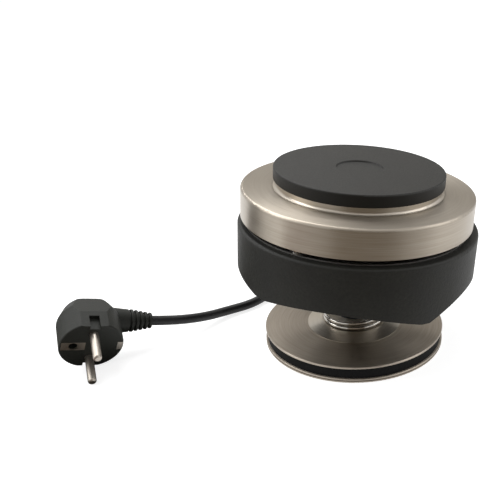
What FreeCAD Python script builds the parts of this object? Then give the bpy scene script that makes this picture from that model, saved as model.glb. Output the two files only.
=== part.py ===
"""Spring-mounted electric hot plate burner: round base, sprung neck, leaning head, mains cord and plug.

Units are millimetres. The origin is the centre of the base's underside, +Z is up and -Y is the front.
The head is built upright and then leans about the centre of the ball collar on the guide stud.
"""
import FreeCAD
import Part
import math
import os

# Base: two steel discs with a rubber ring between them
DISC_DIAMETER = 111.0
FOOT_THICKNESS = 2.5
FOOT_GROOVE_HEIGHT = 0.6
FOOT_GROOVE_DEPTH = 0.8
RING_INSET = 1.2
RING_INNER = 62.0
RING_HEIGHT = 6.3
FLANGE_THICKNESS = 1.5
DISC_EDGE_ROUND = 0.5

# Guide stud with its clamping nut, and the shoulder that stops the head's rise
STUD_DIAMETER = 10.0
STUD_SPIGOT_DIAMETER = 8.0
STUD_FLANGE_DIAMETER = 26.0
STUD_FLANGE_THICKNESS = 3.0
STUD_THREAD_DIAMETER = 8.0
STUD_TIP_LENGTH = 1.5
BASE_WASHER_DIAMETER = 21.0
BASE_WASHER_THICKNESS = 2.0
BASE_NUT_FLATS = 17.0
BASE_NUT_HEIGHT = 8.0
STOP_WASHER_DIAMETER = 16.5
STOP_WASHER_THICKNESS = 2.0
STOP_NUT_FLATS = 13.0
STOP_NUT_HEIGHT = 6.5

# Neck spring and its seat
SPRING_OUTER = 39.0
SPRING_WIRE = 2.2
SPRING_TURNS = 5.25
SPRING_FIRST_AZIMUTH = 165.0
# Share by which the pitch falls at both ends, so that the end turns lie closed
SPRING_END_EASE = 0.59
SPRING_SEAT_MARGIN = 0.5
SPRING_SEAT_HEIGHT = 2.5
SPRING_SEAT_FLARE = 9.0
SPRING_SEAT_RIM = 0.2
SPRING_SPIGOT_HEIGHT = 4.0
SPRING_SIDE_CLEARANCE = 0.4

# Ball collar that slides on the stud and carries the head
BALL_CENTRE_Z = 50.0
BALL_RADIUS = 12.0
BALL_TOP = 6.5
BALL_NECK_RADIUS = 8.0
COLLAR_FLANGE_INSET = 0.5
COLLAR_FLANGE_TOP = -8.5
COLLAR_FLANGE_THICKNESS = 2.0
SLIDE_CLEARANCE = 0.05
SOCKET_CLEARANCE = 0.3
STOP_GAP = 0.05

# Lean of the head as it stands
HEAD_LEAN = 3.3

# Housing: round wall with a rounded shoulder, its lower edge arched between five feet
# The head's heights down to the cap's are counted from the ball's centre
HOUSING_TOP = 28.0
HOUSING_FOOT = -10.0
HOUSING_RADIUS = 71.2
HOUSING_SHIFT = 1.05
HOUSING_WALL = 3.0
HOUSING_SHOULDER_ROUND = 1.6
HOUSING_FOOT_SLOPE = 2.5
HOUSING_FOOT_CUT = -5.3
ARCH_FOOT = -6.1
FOOT_AZIMUTHS = [33.5, 105.0, 177.0, 249.0, 312.0]
# Top of the arch that follows each foot
ARCH_TOPS = [5.7, 1.5, 1.5, -2.0, 0.75]
BOSS_COUNT = 5
FIRST_BOSS_AZIMUTH = 69.0
LEDGE_THICKNESS = 3.0
LEDGE_WIDTH = 14.2

# Bottom cover with its socket for the ball
COVER_UNDERSIDE = 3.4
COVER_THICKNESS = 2.5
COVER_CLEARANCE = 0.5
HUB_WALL = 7.0
HUB_HEIGHT = 7.0
SOCKET_RING_HEIGHT = 5.8
SOCKET_SCREW_OFFSET = 3.6
SOCKET_SCREW_COUNT = 3
COVER_BOSS_RADIUS = 4.5
COVER_BOSS_INSET = 6.7
COVER_BOSS_HEIGHT = 10.0
M3_RADIUS = 1.5
M3_HEAD_RADIUS = 2.75
M3_HEAD_HEIGHT = 1.8
SCREW_LENGTH = 9.0
JAW_SCREW_DEPTH = 5.0
SCREW_SLOT = 0.7

# Heat shield, stand-off pillars and steel cap
SHIELD_INSET = 5.2
SHIELD_THICKNESS = 0.8
PILLAR_RADIUS = 3.0
PILLAR_INSET = 6.0
PILLAR_COUNT = 4
PILLAR_FIRST_AZIMUTH = -30.0
CAP_INSET = 2.7
CAP_UNDERSIDE = 31.8
CAP_HEIGHT = 17.0
CAP_SHEET = 1.2
CAP_EDGE_ROUND = 1.6
PLATE_OVERHANG = 5.0

# Spill ring and cast hot plate
SPILL_FOOT_PROUD = 0.6
SPILL_NECK_INSET = 1.6
SPILL_HEIGHT = 4.4
SPILL_FOOT_HEIGHT = 1.4
SPILL_FLANK_SAG = 0.3
PLATE_DIAMETER = 100.0
PLATE_THICKNESS = 7.3
PLATE_EDGE_ROUND = 0.8
PLATE_RECESS_DIAMETER = 28.0
PLATE_RECESS_DEPTH = 0.8
PLATE_RECESS_BEVEL = 0.6
PLATE_SKIRT_CLEARANCE = 1.0
PLATE_SKIRT_WALL = 4.0
PLATE_SKIRT_HEIGHT = 7.0
PLATE_BOSS_RADIUS = 9.0

# Heating element and what holds it in the plate
ELEMENT_INSET = 18.0
ELEMENT_TUBE_RADIUS = 3.0
ELEMENT_OPEN_ANGLE = 40.0
TERMINAL_PIN_RADIUS = 1.6
TERMINAL_PIN_LENGTH = 10.5
INSULATION_THICKNESS = 1.0
INSULATION_CLEARANCE = 0.2
PLATE_COVER_THICKNESS = 0.8
PIN_HOLE_CLEARANCE = 1.2
CLAMP_STUD_RADIUS = 3.0
CLAMP_STUD_DEPTH = 5.0
CLAMP_STUD_TIP = 1.0
CLAMP_BAR_REACH = 11.0
CLAMP_BAR_WIDTH = 16.0
CLAMP_BAR_THICKNESS = 2.0
CLAMP_FOOT_LENGTH = 4.0
CLAMP_FOOT_HEIGHT = 4.2
CLAMP_WASHER_RADIUS = 6.5
CLAMP_WASHER_THICKNESS = 1.2
CLAMP_NUT_FLATS = 10.0
CLAMP_NUT_HEIGHT = 5.0

# Temperature limiter, thermal fuse and terminals
LIMITER_RADIUS = 8.5
LIMITER_HEIGHT = 8.0
LIMITER_AZIMUTH = 120.0
LIMITER_CIRCLE = 35.0
LIMITER_TAB = (6.3, 0.8, 6.0)
LIMITER_TAB_SPACING = 8.0
FUSE_SIZE = (14.0, 6.0, 6.0)
FUSE_PLACE = (0.0, -27.0)
BLOCK_SIZE = (34.0, 18.0, 15.0)
BLOCK_CENTRE_Y = 36.0
BLOCK_POLES = 3
BLOCK_PITCH = 10.0
BLOCK_SCREW_RADIUS = 2.2
BLOCK_SCREW_HEIGHT = 1.6
BLOCK_SCREW_ROWS = (-4.5, 4.5)
BUSH_PLACE = (-26.0, -4.0)
BUSH_HOLE_RADIUS = 6.0
BUSH_FLANGE_RADIUS = 8.0
BUSH_FLANGE_THICKNESS = 2.0
BUSH_BORE_RADIUS = 4.6
EARTH_SCREW_PLACE = (30.0, 8.0)
EARTH_SCREW_RADIUS = 2.0
EARTH_SCREW_LENGTH = 8.0
EARTH_HEAD_RADIUS = 3.8
EARTH_HEAD_HEIGHT = 2.6
WIRE_RADIUS = 1.2
WIRE_SPACING = 0.8
WIRE_ENTRY_SHARE = 0.4
WIRE_RISE = 4.0
WIRE_HANG = 7.0

# Mains cord, its gland and inner clamp
CORD_DIAMETER = 6.0
GLAND_HEIGHT = 14.5
GLAND_BODY_RADIUS = 6.0
GLAND_FLANGE_RADIUS = 8.0
GLAND_FLANGE_THICKNESS = 2.0
GLAND_TAIL_RADIUS = 4.4
GLAND_TAIL_LENGTH = 24.8
GLAND_INNER_DEPTH = 11.2
GLAND_WALL_GAP = 0.6
GLAND_RING_GAP = 1.0
INNER_CORD_GAP = 1.0
CORD_CLAMP_INSET = 17.7
CORD_CLAMP_WIDTH = 24.0
CORD_CLAMP_DEPTH = 7.0
CORD_CLAMP_THICKNESS = 4.0
CORD_CLAMP_SCREW_OFFSET = 8.0
CORD_JOIN_GAP = 0.05

# Tied coil of spare cord behind the object
COIL_CENTRE_X = -13.0
COIL_BEHIND_GLAND = 110.0
COIL_OUTER_RADIUS = 42.0
COIL_TURNS = 5.5
COIL_TURN_GAP = 0.8
COIL_LAYER_GAP = 0.6
TIE_THICKNESS = 0.8
TIE_WIDTH = 8.0
TIE_CLEARANCE = 0.4
TIE_UNDER_CLEARANCE = 0.1
TIE_AZIMUTH = 90.0

# Cord route from the gland to the coil: sideways place, run behind the gland, share of the drop still to go
EXIT_RUN = 15.0
LEAD_ROUTE = [(3.5, 30.0, 0.895), (9.5, 43.5, 0.704), (16.0, 55.0, 0.454), (22.5, 66.5, 0.222),
              (27.0, 77.0, 0.072)]
ENTRY_RUN = 14.0
# Cord route from the coil to the plug's boot, with its height above where it lies on the table
FREE_ROUTE = [(-52.5, 124.0, 0.0), (-50.0, 95.0, 0.0), (-53.0, 66.0, 0.0), (-66.5, 41.5, 0.0),
              (-84.5, 29.5, 0.25), (-95.5, 18.5, 2.95), (-104.5, 7.5, 6.55)]
FLOOR_GAP = 0.05
LEAVE_RUN = 28.0
BOOT_RUN = 12.0

# Angled mains plug with two pins, an earth socket and side earth contacts
PLUG_FACE = (-150.5, -43.2, 16.85)
PLUG_TURN = 22.0
PLUG_NOSE_DOWN = 19.0
PLUG_ROLL = 14.5
PLUG_FACE_RADIUS = 17.8
PLUG_FLAT_HALF = 16.2
PLUG_DEPTH = 27.5
PLUG_SHOULDER = 18.5
PLUG_BACK_RADIUS = 13.5
PLUG_GROOVE_WIDTH = 5.6
PLUG_GROOVE_DEPTH = 2.4
PLUG_GROOVE_LENGTH = 8.5
PLUG_FACET_START = 12.0
PLUG_BACK_HALF = 11.5
PLUG_EDGE_ROUND = 1.0
PLUG_PIN_RADIUS = 2.4
PLUG_PIN_LENGTH = 19.0
PLUG_PIN_SPACING = 19.0
PLUG_PIN_SEAT = 6.0
BOOT_OFFSET = 20.5
BOOT_START = 8.0
BOOT_RIBS_START = 23.0
BOOT_END = 37.0
BOOT_ROOT_RADIUS = 8.6
BOOT_NECK_RADIUS = 6.9
BOOT_TIP_RADIUS = 4.9
BOOT_RIB_COUNT = 5
BOOT_GROOVE_DEPTH = 1.3
EARTH_PLATE = (13.0, 6.0, 1.0)
EARTH_HOLE_OFFSET = 10.0
EARTH_HOLE_RADIUS = 2.5
EARTH_HOLE_DEPTH = 14.0
EARTH_CLIP = (3.0, 6.0, 9.0)
EARTH_CLIP_INSET = 0.6

# Sizes and heights that follow from those above
RING_OUTER = DISC_DIAMETER - 2 * RING_INSET
SPRING_SEAT_TOP = SPRING_OUTER / 2 + SPRING_SEAT_MARGIN
SPRING_SEAT_FOOT = SPRING_SEAT_TOP + SPRING_SEAT_FLARE
COLLAR_FLANGE_DIAMETER = SPRING_OUTER - 2 * COLLAR_FLANGE_INSET
HUB_RADIUS = BALL_RADIUS + HUB_WALL
SOCKET_SCREW_CIRCLE = BALL_RADIUS + SOCKET_SCREW_OFFSET
HOUSING_TOP_Z = BALL_CENTRE_Z + HOUSING_TOP
HOUSING_FOOT_Z = BALL_CENTRE_Z + HOUSING_FOOT
ARCH_FOOT_Z = BALL_CENTRE_Z + ARCH_FOOT
HOUSING_FOOT_CUT_Z = BALL_CENTRE_Z + HOUSING_FOOT_CUT
LEDGE_INNER_RADIUS = HOUSING_RADIUS - LEDGE_WIDTH
COVER_BOTTOM = BALL_CENTRE_Z + COVER_UNDERSIDE
COVER_BOSS_CIRCLE = HOUSING_RADIUS - COVER_BOSS_INSET
SHIELD_RADIUS = HOUSING_RADIUS - SHIELD_INSET
CAP_RADIUS = HOUSING_RADIUS - CAP_INSET
CAP_BOTTOM_Z = BALL_CENTRE_Z + CAP_UNDERSIDE
CAP_TOP_Z = CAP_BOTTOM_Z + CAP_HEIGHT
PILLAR_CIRCLE = CAP_RADIUS - PILLAR_INSET
CAP_OPENING_RADIUS = PLATE_DIAMETER / 2 - PLATE_OVERHANG
SPILL_FOOT_RADIUS = PLATE_DIAMETER / 2 + SPILL_FOOT_PROUD
SPILL_NECK_RADIUS = PLATE_DIAMETER / 2 - SPILL_NECK_INSET
PLATE_SKIRT_OUTER = CAP_OPENING_RADIUS - PLATE_SKIRT_CLEARANCE
ELEMENT_CIRCLE = PLATE_SKIRT_OUTER - ELEMENT_INSET
CLAMP_BAR_LENGTH = 2 * (CAP_OPENING_RADIUS + CLAMP_BAR_REACH)
GLAND_Z = BALL_CENTRE_Z + GLAND_HEIGHT
GLAND_END_Y = HOUSING_RADIUS + GLAND_TAIL_LENGTH
GLAND_INNER_Y = HOUSING_RADIUS - GLAND_INNER_DEPTH
CORD_CLAMP_Y = HOUSING_RADIUS - CORD_CLAMP_INSET
INNER_CORD_END_Y = BLOCK_CENTRE_Y + BLOCK_SIZE[1] / 2 + INNER_CORD_GAP
RING_BOTTOM = FOOT_THICKNESS
FLANGE_BOTTOM = RING_BOTTOM + RING_HEIGHT
FLANGE_TOP = FLANGE_BOTTOM + FLANGE_THICKNESS
SPRING_BOTTOM = FLANGE_TOP + SPRING_SEAT_HEIGHT
SPRING_TOP = BALL_CENTRE_Z + COLLAR_FLANGE_TOP - COLLAR_FLANGE_THICKNESS
STOP_Z = BALL_CENTRE_Z + BALL_TOP + STOP_GAP
COVER_TOP = COVER_BOTTOM + COVER_THICKNESS
SHIELD_TOP = HOUSING_TOP_Z + SHIELD_THICKNESS
CAP_INSIDE_Z = CAP_TOP_Z - CAP_SHEET
PLATE_BOTTOM = CAP_TOP_Z + SPILL_HEIGHT
PLATE_TOP = PLATE_BOTTOM + PLATE_THICKNESS
SKIRT_BOTTOM = PLATE_BOTTOM - PLATE_SKIRT_HEIGHT
ELEMENT_Z = PLATE_BOTTOM - ELEMENT_TUBE_RADIUS
COVER_PLATE_BOTTOM = SKIRT_BOTTOM - PLATE_COVER_THICKNESS
CLAMP_BAR_TOP = CAP_INSIDE_Z - CLAMP_FOOT_HEIGHT
CLAMP_BAR_BOTTOM = CLAMP_BAR_TOP - CLAMP_BAR_THICKNESS
CORD_RADIUS = CORD_DIAMETER / 2
COIL_CENTRE = (COIL_CENTRE_X, GLAND_END_Y + COIL_BEHIND_GLAND)
COIL_STEP = CORD_DIAMETER + COIL_TURN_GAP
COIL_LAYER = CORD_DIAMETER + COIL_LAYER_GAP
COIL_LOW_Z = CORD_RADIUS + TIE_THICKNESS + TIE_UNDER_CLEARANCE
PIVOT = FreeCAD.Vector(0, 0, BALL_CENTRE_Z)
UP = FreeCAD.Vector(0, 0, 1)
SIDEWAYS = FreeCAD.Vector(0, 1, 0)
ORIGIN = FreeCAD.Vector(0, 0, 0)


def vec(x, y, z):
    return FreeCAD.Vector(x, y, z)


def rod(radius, bottom, top, x=0.0, y=0.0):
    """Upright cylinder between two heights."""
    return Part.makeCylinder(radius, top - bottom, vec(x, y, bottom))


def tube(outer, inner, bottom, top, x=0.0, y=0.0):
    """Upright tube between two heights."""
    return rod(outer, bottom, top, x, y).cut(rod(inner, bottom, top, x, y))


def block(size, x, y, bottom):
    """Box centred on x and y that stands on the given height."""
    width, depth, height = size
    return Part.makeBox(width, depth, height, vec(x - width / 2, y - depth / 2, bottom))


def turned(profile):
    """Solid of revolution about Z from (radius, height) corners."""
    corners = [vec(radius, 0, height) for radius, height in profile]
    face = Part.Face(Part.makePolygon(corners + corners[:1]))
    return face.revolve(ORIGIN, UP, 360)


def round_edges_at(shape, radius, size, heights):
    """Round the circular edges of one radius that lie at the given heights."""
    picked = []
    for edge in shape.Edges:
        curve = edge.Curve
        if isinstance(curve, Part.Circle) and abs(curve.Radius - radius) < 0.01:
            if any(abs(curve.Center.z - height) < 0.01 for height in heights):
                picked.append(edge)
    return shape.makeFillet(size, picked)


def polar(circle, azimuth):
    """Place on a circle, with the azimuth counted from the front towards +X."""
    angle = math.radians(azimuth)
    return circle * math.sin(angle), -circle * math.cos(angle)


def hexagon(flats, bottom, top):
    """Hexagonal prism about Z with its edges eased as on a machined nut."""
    corner = flats / math.sqrt(3)
    points = []
    for index in range(6):
        angle = math.radians(60 * index)
        points.append(vec(corner * math.cos(angle), corner * math.sin(angle), bottom))
    prism = Part.Face(Part.makePolygon(points + points[:1])).extrude(UP * (top - bottom))
    ease = corner - flats / 2
    blank = turned([(0, bottom), (flats / 2, bottom), (corner, bottom + ease / 2), (corner, top - ease / 2),
                    (flats / 2, top), (0, top)])
    return prism.common(blank)


def nut(flats, bore_radius, bottom, top):
    return hexagon(flats, bottom, top).cut(rod(bore_radius, bottom, top))


def pan_screw(x, y, seat, radius, head_radius, head_height, length):
    """Screw driven upwards: its head hangs below the seat and its shank rises from it."""
    head = rod(head_radius, seat - head_height, seat, x, y)
    slot = block((head_radius * 2, SCREW_SLOT, head_height / 2), x, y, seat - head_height)
    return head.cut(slot).fuse(rod(radius, seat, seat + length, x, y))


def leaned(shape):
    """The shape as it stands with the leaning head."""
    return shape.rotated(PIVOT, SIDEWAYS, HEAD_LEAN)


def lean_point(point):
    """A point of the upright head as it stands with the leaning head."""
    turn = FreeCAD.Rotation(SIDEWAYS, HEAD_LEAN)
    return PIVOT + turn.multVec(point - PIVOT)


def arc_from(start, tangent, end):
    """Arc that leaves start along the tangent and ends at end."""
    chord = end - start
    along = FreeCAD.Vector(chord)
    along.normalize()
    across = tangent - along * tangent.dot(along)
    across.normalize()
    half_turn = math.acos(max(-1.0, min(1.0, tangent.dot(along))))
    middle = start + chord * 0.5 + across * (chord.Length / 2 * math.tan(half_turn / 2))
    return Part.Arc(start, middle, end).toShape()


def biarc(start, start_tangent, end, end_tangent):
    """Two arcs that join smoothly and leave both ends along their tangents."""
    span = end - start
    both = start_tangent + end_tangent
    spread = 2 * (1 - start_tangent.dot(end_tangent))
    along = span.dot(both)
    reach = (math.sqrt(along * along + spread * span.dot(span)) - along) / spread
    joint = (start + end + (start_tangent - end_tangent) * reach) * 0.5
    first = arc_from(start, start_tangent, joint)
    second = arc_from(end, end_tangent * -1, joint)
    return [first, second]


def curve_tangent(curve, angle):
    step = 1e-4
    direction = curve(angle + step) - curve(angle - step)
    direction.normalize()
    return direction


def wound_wire(curve, first, last, step, lead_in=0.0, lead_out=0.0):
    """Wire of biarcs along a winding curve of one angle, with straight ends."""
    count = max(1, round(abs(last - first) / step))
    edges = []
    start = curve(first)
    start_tangent = curve_tangent(curve, first)
    if lead_in:
        edges.append(Part.LineSegment(start - start_tangent * lead_in, start).toShape())
    for index in range(count):
        here = first + (last - first) * index / count
        there = first + (last - first) * (index + 1) / count
        edges += biarc(curve(here), curve_tangent(curve, here), curve(there), curve_tangent(curve, there))
    if lead_out:
        end = curve(last)
        edges.append(Part.LineSegment(end, end + curve_tangent(curve, last) * lead_out).toShape())
    return Part.Wire(Part.__sortEdges__(edges))


def round_bar(wire, radius, start, direction):
    """Solid round bar along a wire that starts at the given place and direction."""
    profile = Part.Wire(Part.makeCircle(radius, start, direction))
    return wire.makePipeShell([profile], True, False)


def least_self_gap(curve, first, last, diameter, near_angle):
    """Least gap between two turns of a wound tube, measured on points along its middle."""
    count = 900
    angles = [first + (last - first) * index / count for index in range(count + 1)]
    places = [curve(angle) for angle in angles]
    least = float("inf")
    for index, place in enumerate(places):
        for other in range(index + 1, count + 1):
            if abs(angles[other] - angles[index]) > near_angle:
                least = min(least, (places[other] - place).Length)
    return least - diameter


def routed_wire(points, label):
    """Straight runs joined by tangent arcs as large as the runs allow."""
    share = 0.45
    edges = []
    radii = []
    start = points[0]
    for before, corner, after in zip(points, points[1:], points[2:]):
        back = before - corner
        ahead = after - corner
        reach = share * min(back.Length, ahead.Length)
        inward = back.normalize()
        outward = ahead.normalize()
        turn = math.pi - math.acos(max(-1.0, min(1.0, inward.dot(outward))))
        radii.append(reach / math.tan(turn / 2))
        entry = corner + inward * reach
        leave = corner + outward * reach
        edges.append(Part.LineSegment(start, entry).toShape())
        edges.append(arc_from(entry, inward * -1, leave))
        start = leave
    edges.append(Part.LineSegment(start, points[-1]).toShape())
    print(label, "bend radii", [round(radius, 1) for radius in radii])
    return Part.Wire(edges)


def routed_tube(points, radius, label):
    """Round cord or wire along a route, with its volume compared with section times length."""
    wire = routed_wire(points, label)
    solid = round_bar(wire, radius, points[0], points[1] - points[0])
    expected = math.pi * radius * radius * wire.Length
    print(label, "length", round(wire.Length, 1), "volume ratio", round(solid.Volume / expected, 4))
    return solid


def arch_cuts():
    """Lying cylinders that arch the housing's lower edge from one foot to the next."""
    following = FOOT_AZIMUTHS[1:] + [FOOT_AZIMUTHS[0] + 360.0]
    cuts = []
    for first, last, arch in zip(FOOT_AZIMUTHS, following, ARCH_TOPS):
        top = BALL_CENTRE_Z + arch
        height = top - ARCH_FOOT_Z
        half_span = HOUSING_RADIUS * math.sin(math.radians((last - first) / 2))
        radius = (half_span ** 2 + height ** 2) / (2 * height)
        x, y = polar(1.0, (first + last) / 2)
        start = vec(HOUSING_SHIFT, 0, top - radius)
        cuts.append(Part.makeCylinder(radius, HOUSING_RADIUS * 2, start, vec(x, y, 0)))
    return cuts


def spring_curve(angle):
    """Middle of the spring wire."""
    radius = (SPRING_OUTER - SPRING_WIRE) / 2
    rise = SPRING_TOP - SPRING_BOTTOM - SPRING_WIRE
    share = angle / (2 * math.pi * SPRING_TURNS)
    share -= SPRING_END_EASE * math.sin(2 * math.pi * share) / (2 * math.pi)
    height = SPRING_BOTTOM + SPRING_WIRE / 2 + rise * share
    turn = angle + math.radians(SPRING_FIRST_AZIMUTH)
    return vec(radius * math.cos(turn), radius * math.sin(turn), height)


def coil_curve(angle):
    """Middle of the coiled cord: spirals in on the upper layer and out again on the lower one."""
    half = math.pi * COIL_TURNS
    from_middle = angle - half
    eased = math.sqrt(from_middle * from_middle + 1.0)
    full = math.sqrt(half * half + 1.0)
    radius = COIL_OUTER_RADIUS - COIL_STEP * (full - eased) / (2 * math.pi)
    climb = max(-1.0, min(1.0, from_middle / (math.pi / 2)))
    height = COIL_LOW_Z + COIL_LAYER * (1 - math.sin(climb * math.pi / 2)) / 2
    return vec(COIL_CENTRE[0] + radius * math.cos(angle), COIL_CENTRE[1] + radius * math.sin(angle), height)


def plug_placed(shape):
    """A plug piece as it lies: built with its face at the origin and its pins towards -Y."""
    lying = shape.rotated(ORIGIN, SIDEWAYS, PLUG_ROLL)
    lying = lying.rotated(ORIGIN, vec(1, 0, 0), PLUG_NOSE_DOWN)
    lying = lying.rotated(ORIGIN, UP, PLUG_TURN)
    return lying.translated(vec(*PLUG_FACE))


def plug_point(x, y, z):
    return plug_placed(Part.Vertex(x, y, z)).Vertexes[0].Point


def make_base():
    radius = DISC_DIAMETER / 2
    spigot = STUD_SPIGOT_DIAMETER / 2
    groove_bottom = (FOOT_THICKNESS - FOOT_GROOVE_HEIGHT) / 2
    groove_top = groove_bottom + FOOT_GROOVE_HEIGHT
    inner = radius - FOOT_GROOVE_DEPTH
    foot = turned([(spigot, 0), (radius, 0), (radius, groove_bottom), (inner, groove_bottom),
                   (inner, groove_top), (radius, groove_top), (radius, FOOT_THICKNESS),
                   (spigot, FOOT_THICKNESS)])
    foot = round_edges_at(foot, radius, DISC_EDGE_ROUND * 0.7, [0, FOOT_THICKNESS])
    ring = tube(RING_OUTER / 2, RING_INNER / 2, RING_BOTTOM, FLANGE_BOTTOM)
    flange = tube(radius, STUD_DIAMETER / 2, FLANGE_BOTTOM, FLANGE_TOP)
    flange = round_edges_at(flange, radius, DISC_EDGE_ROUND, [FLANGE_BOTTOM, FLANGE_TOP])
    stud_tip = STOP_Z + STOP_WASHER_THICKNESS + STOP_NUT_HEIGHT + STUD_TIP_LENGTH
    half = STUD_DIAMETER / 2
    thread = STUD_THREAD_DIAMETER / 2
    collar = STUD_FLANGE_DIAMETER / 2
    collar_top = FOOT_THICKNESS + STUD_FLANGE_THICKNESS
    stud = turned([(0, 0), (spigot, 0), (spigot, FOOT_THICKNESS), (collar, FOOT_THICKNESS),
                   (collar, collar_top), (half, collar_top), (half, STOP_Z), (thread, STOP_Z),
                   (thread, stud_tip - STUD_TIP_LENGTH / 2), (thread - STUD_TIP_LENGTH / 2, stud_tip),
                   (0, stud_tip)])
    washer_top = FLANGE_TOP + BASE_WASHER_THICKNESS
    nut_top = washer_top + BASE_NUT_HEIGHT
    wire_inner = SPRING_OUTER / 2 - SPRING_WIRE - SPRING_SIDE_CLEARANCE
    washer_room = BASE_WASHER_DIAMETER / 2 + SPRING_SIDE_CLEARANCE
    seat = turned([(washer_room, FLANGE_TOP), (SPRING_SEAT_FOOT, FLANGE_TOP),
                   (SPRING_SEAT_FOOT, FLANGE_TOP + SPRING_SEAT_RIM),
                   (SPRING_SEAT_TOP, SPRING_BOTTOM), (wire_inner, SPRING_BOTTOM),
                   (wire_inner, SPRING_BOTTOM + SPRING_SPIGOT_HEIGHT),
                   (washer_room, SPRING_BOTTOM + SPRING_SPIGOT_HEIGHT)])
    stop_washer_top = STOP_Z + STOP_WASHER_THICKNESS
    return {
        "foot_disc": foot,
        "clamp_ring": ring,
        "flange_disc": flange,
        "guide_stud": stud,
        "base_washer": tube(BASE_WASHER_DIAMETER / 2, half, FLANGE_TOP, washer_top),
        "base_nut": nut(BASE_NUT_FLATS, half, washer_top, nut_top),
        "spring_seat": seat,
        "stop_washer": tube(STOP_WASHER_DIAMETER / 2, thread, STOP_Z, stop_washer_top),
        "stop_nut": nut(STOP_NUT_FLATS, thread, stop_washer_top, stop_washer_top + STOP_NUT_HEIGHT),
    }


def make_spring():
    last = 2 * math.pi * SPRING_TURNS
    wire = wound_wire(spring_curve, 0.0, last, math.pi / 2)
    start = spring_curve(0.0)
    spring = round_bar(wire, SPRING_WIRE / 2, start, curve_tangent(spring_curve, 0.0))
    gap = least_self_gap(spring_curve, 0.0, last, SPRING_WIRE, math.pi)
    print("head_spring least gap to itself", round(gap, 2), "volume ratio",
          round(spring.Volume / (math.pi * SPRING_WIRE ** 2 / 4 * wire.Length), 4))
    return spring


def make_collar():
    """Ball collar: bored ball, neck, and the flange that the spring pushes up."""
    bore = STUD_DIAMETER / 2 + SLIDE_CLEARANCE
    top = BALL_CENTRE_Z + BALL_TOP
    flange_top = BALL_CENTRE_Z + COLLAR_FLANGE_TOP
    spigot = SPRING_OUTER / 2 - SPRING_WIRE - SPRING_SIDE_CLEARANCE
    spigot_bottom = SPRING_TOP - SPRING_SPIGOT_HEIGHT
    ball = Part.makeSphere(BALL_RADIUS, PIVOT)
    ball = ball.common(rod(BALL_RADIUS, BALL_CENTRE_Z - BALL_RADIUS, top))
    neck = rod(BALL_NECK_RADIUS, flange_top, BALL_CENTRE_Z)
    flange = rod(COLLAR_FLANGE_DIAMETER / 2, SPRING_TOP, flange_top)
    skirt = tube(spigot, BALL_NECK_RADIUS, spigot_bottom, SPRING_TOP)
    solid = ball.fuse([neck, flange, skirt])
    return solid.cut(rod(bore, spigot_bottom, top)).removeSplitter()


def boss_places():
    """Screw bosses that hold the bottom cover, evenly round the housing."""
    azimuths = [FIRST_BOSS_AZIMUTH + 360.0 / BOSS_COUNT * index for index in range(BOSS_COUNT)]
    places = [polar(COVER_BOSS_CIRCLE, azimuth) for azimuth in azimuths]
    return [(HOUSING_SHIFT + x, y) for x, y in places]


def pillar_places():
    return [polar(PILLAR_CIRCLE, PILLAR_FIRST_AZIMUTH + 360.0 / PILLAR_COUNT * index)
            for index in range(PILLAR_COUNT)]


def socket_screw_places():
    return [polar(SOCKET_SCREW_CIRCLE, 360.0 / SOCKET_SCREW_COUNT * index)
            for index in range(SOCKET_SCREW_COUNT)]


def make_housing():
    outer = rod(HOUSING_RADIUS, HOUSING_FOOT_Z, HOUSING_TOP_Z, HOUSING_SHIFT)
    outer = round_edges_at(outer, HOUSING_RADIUS, HOUSING_SHOULDER_ROUND, [HOUSING_TOP_Z])
    ledge_bottom = HOUSING_TOP_Z - LEDGE_THICKNESS
    inner = rod(HOUSING_RADIUS - HOUSING_WALL, HOUSING_FOOT_Z, ledge_bottom, HOUSING_SHIFT)
    shell = outer.cut([inner, rod(LEDGE_INNER_RADIUS, HOUSING_FOOT_Z, HOUSING_TOP_Z, HOUSING_SHIFT)])
    span = HOUSING_RADIUS * 3
    below = Part.makeBox(span, span, span, vec(-span / 2, -span / 2, HOUSING_FOOT_CUT_Z - span))
    lower_cuts = [cut.rotated(PIVOT, SIDEWAYS, HOUSING_FOOT_SLOPE) for cut in arch_cuts() + [below]]
    shell = shell.cut(lower_cuts)
    boss_top = COVER_TOP + COVER_BOSS_HEIGHT
    bosses = [rod(COVER_BOSS_RADIUS, COVER_TOP, boss_top, x, y) for x, y in boss_places()]
    shell = shell.fuse([boss.common(outer) for boss in bosses])
    holes = [rod(M3_RADIUS, COVER_BOTTOM, COVER_BOTTOM + SCREW_LENGTH, x, y) for x, y in boss_places()]
    holes += [rod(M3_RADIUS, ledge_bottom, HOUSING_TOP_Z, x, y) for x, y in pillar_places()]
    gland_hole = Part.makeCylinder(GLAND_BODY_RADIUS, GLAND_END_Y, vec(0, 0, GLAND_Z), SIDEWAYS)
    return shell.cut(holes + [gland_hole]).removeSplitter()


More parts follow.
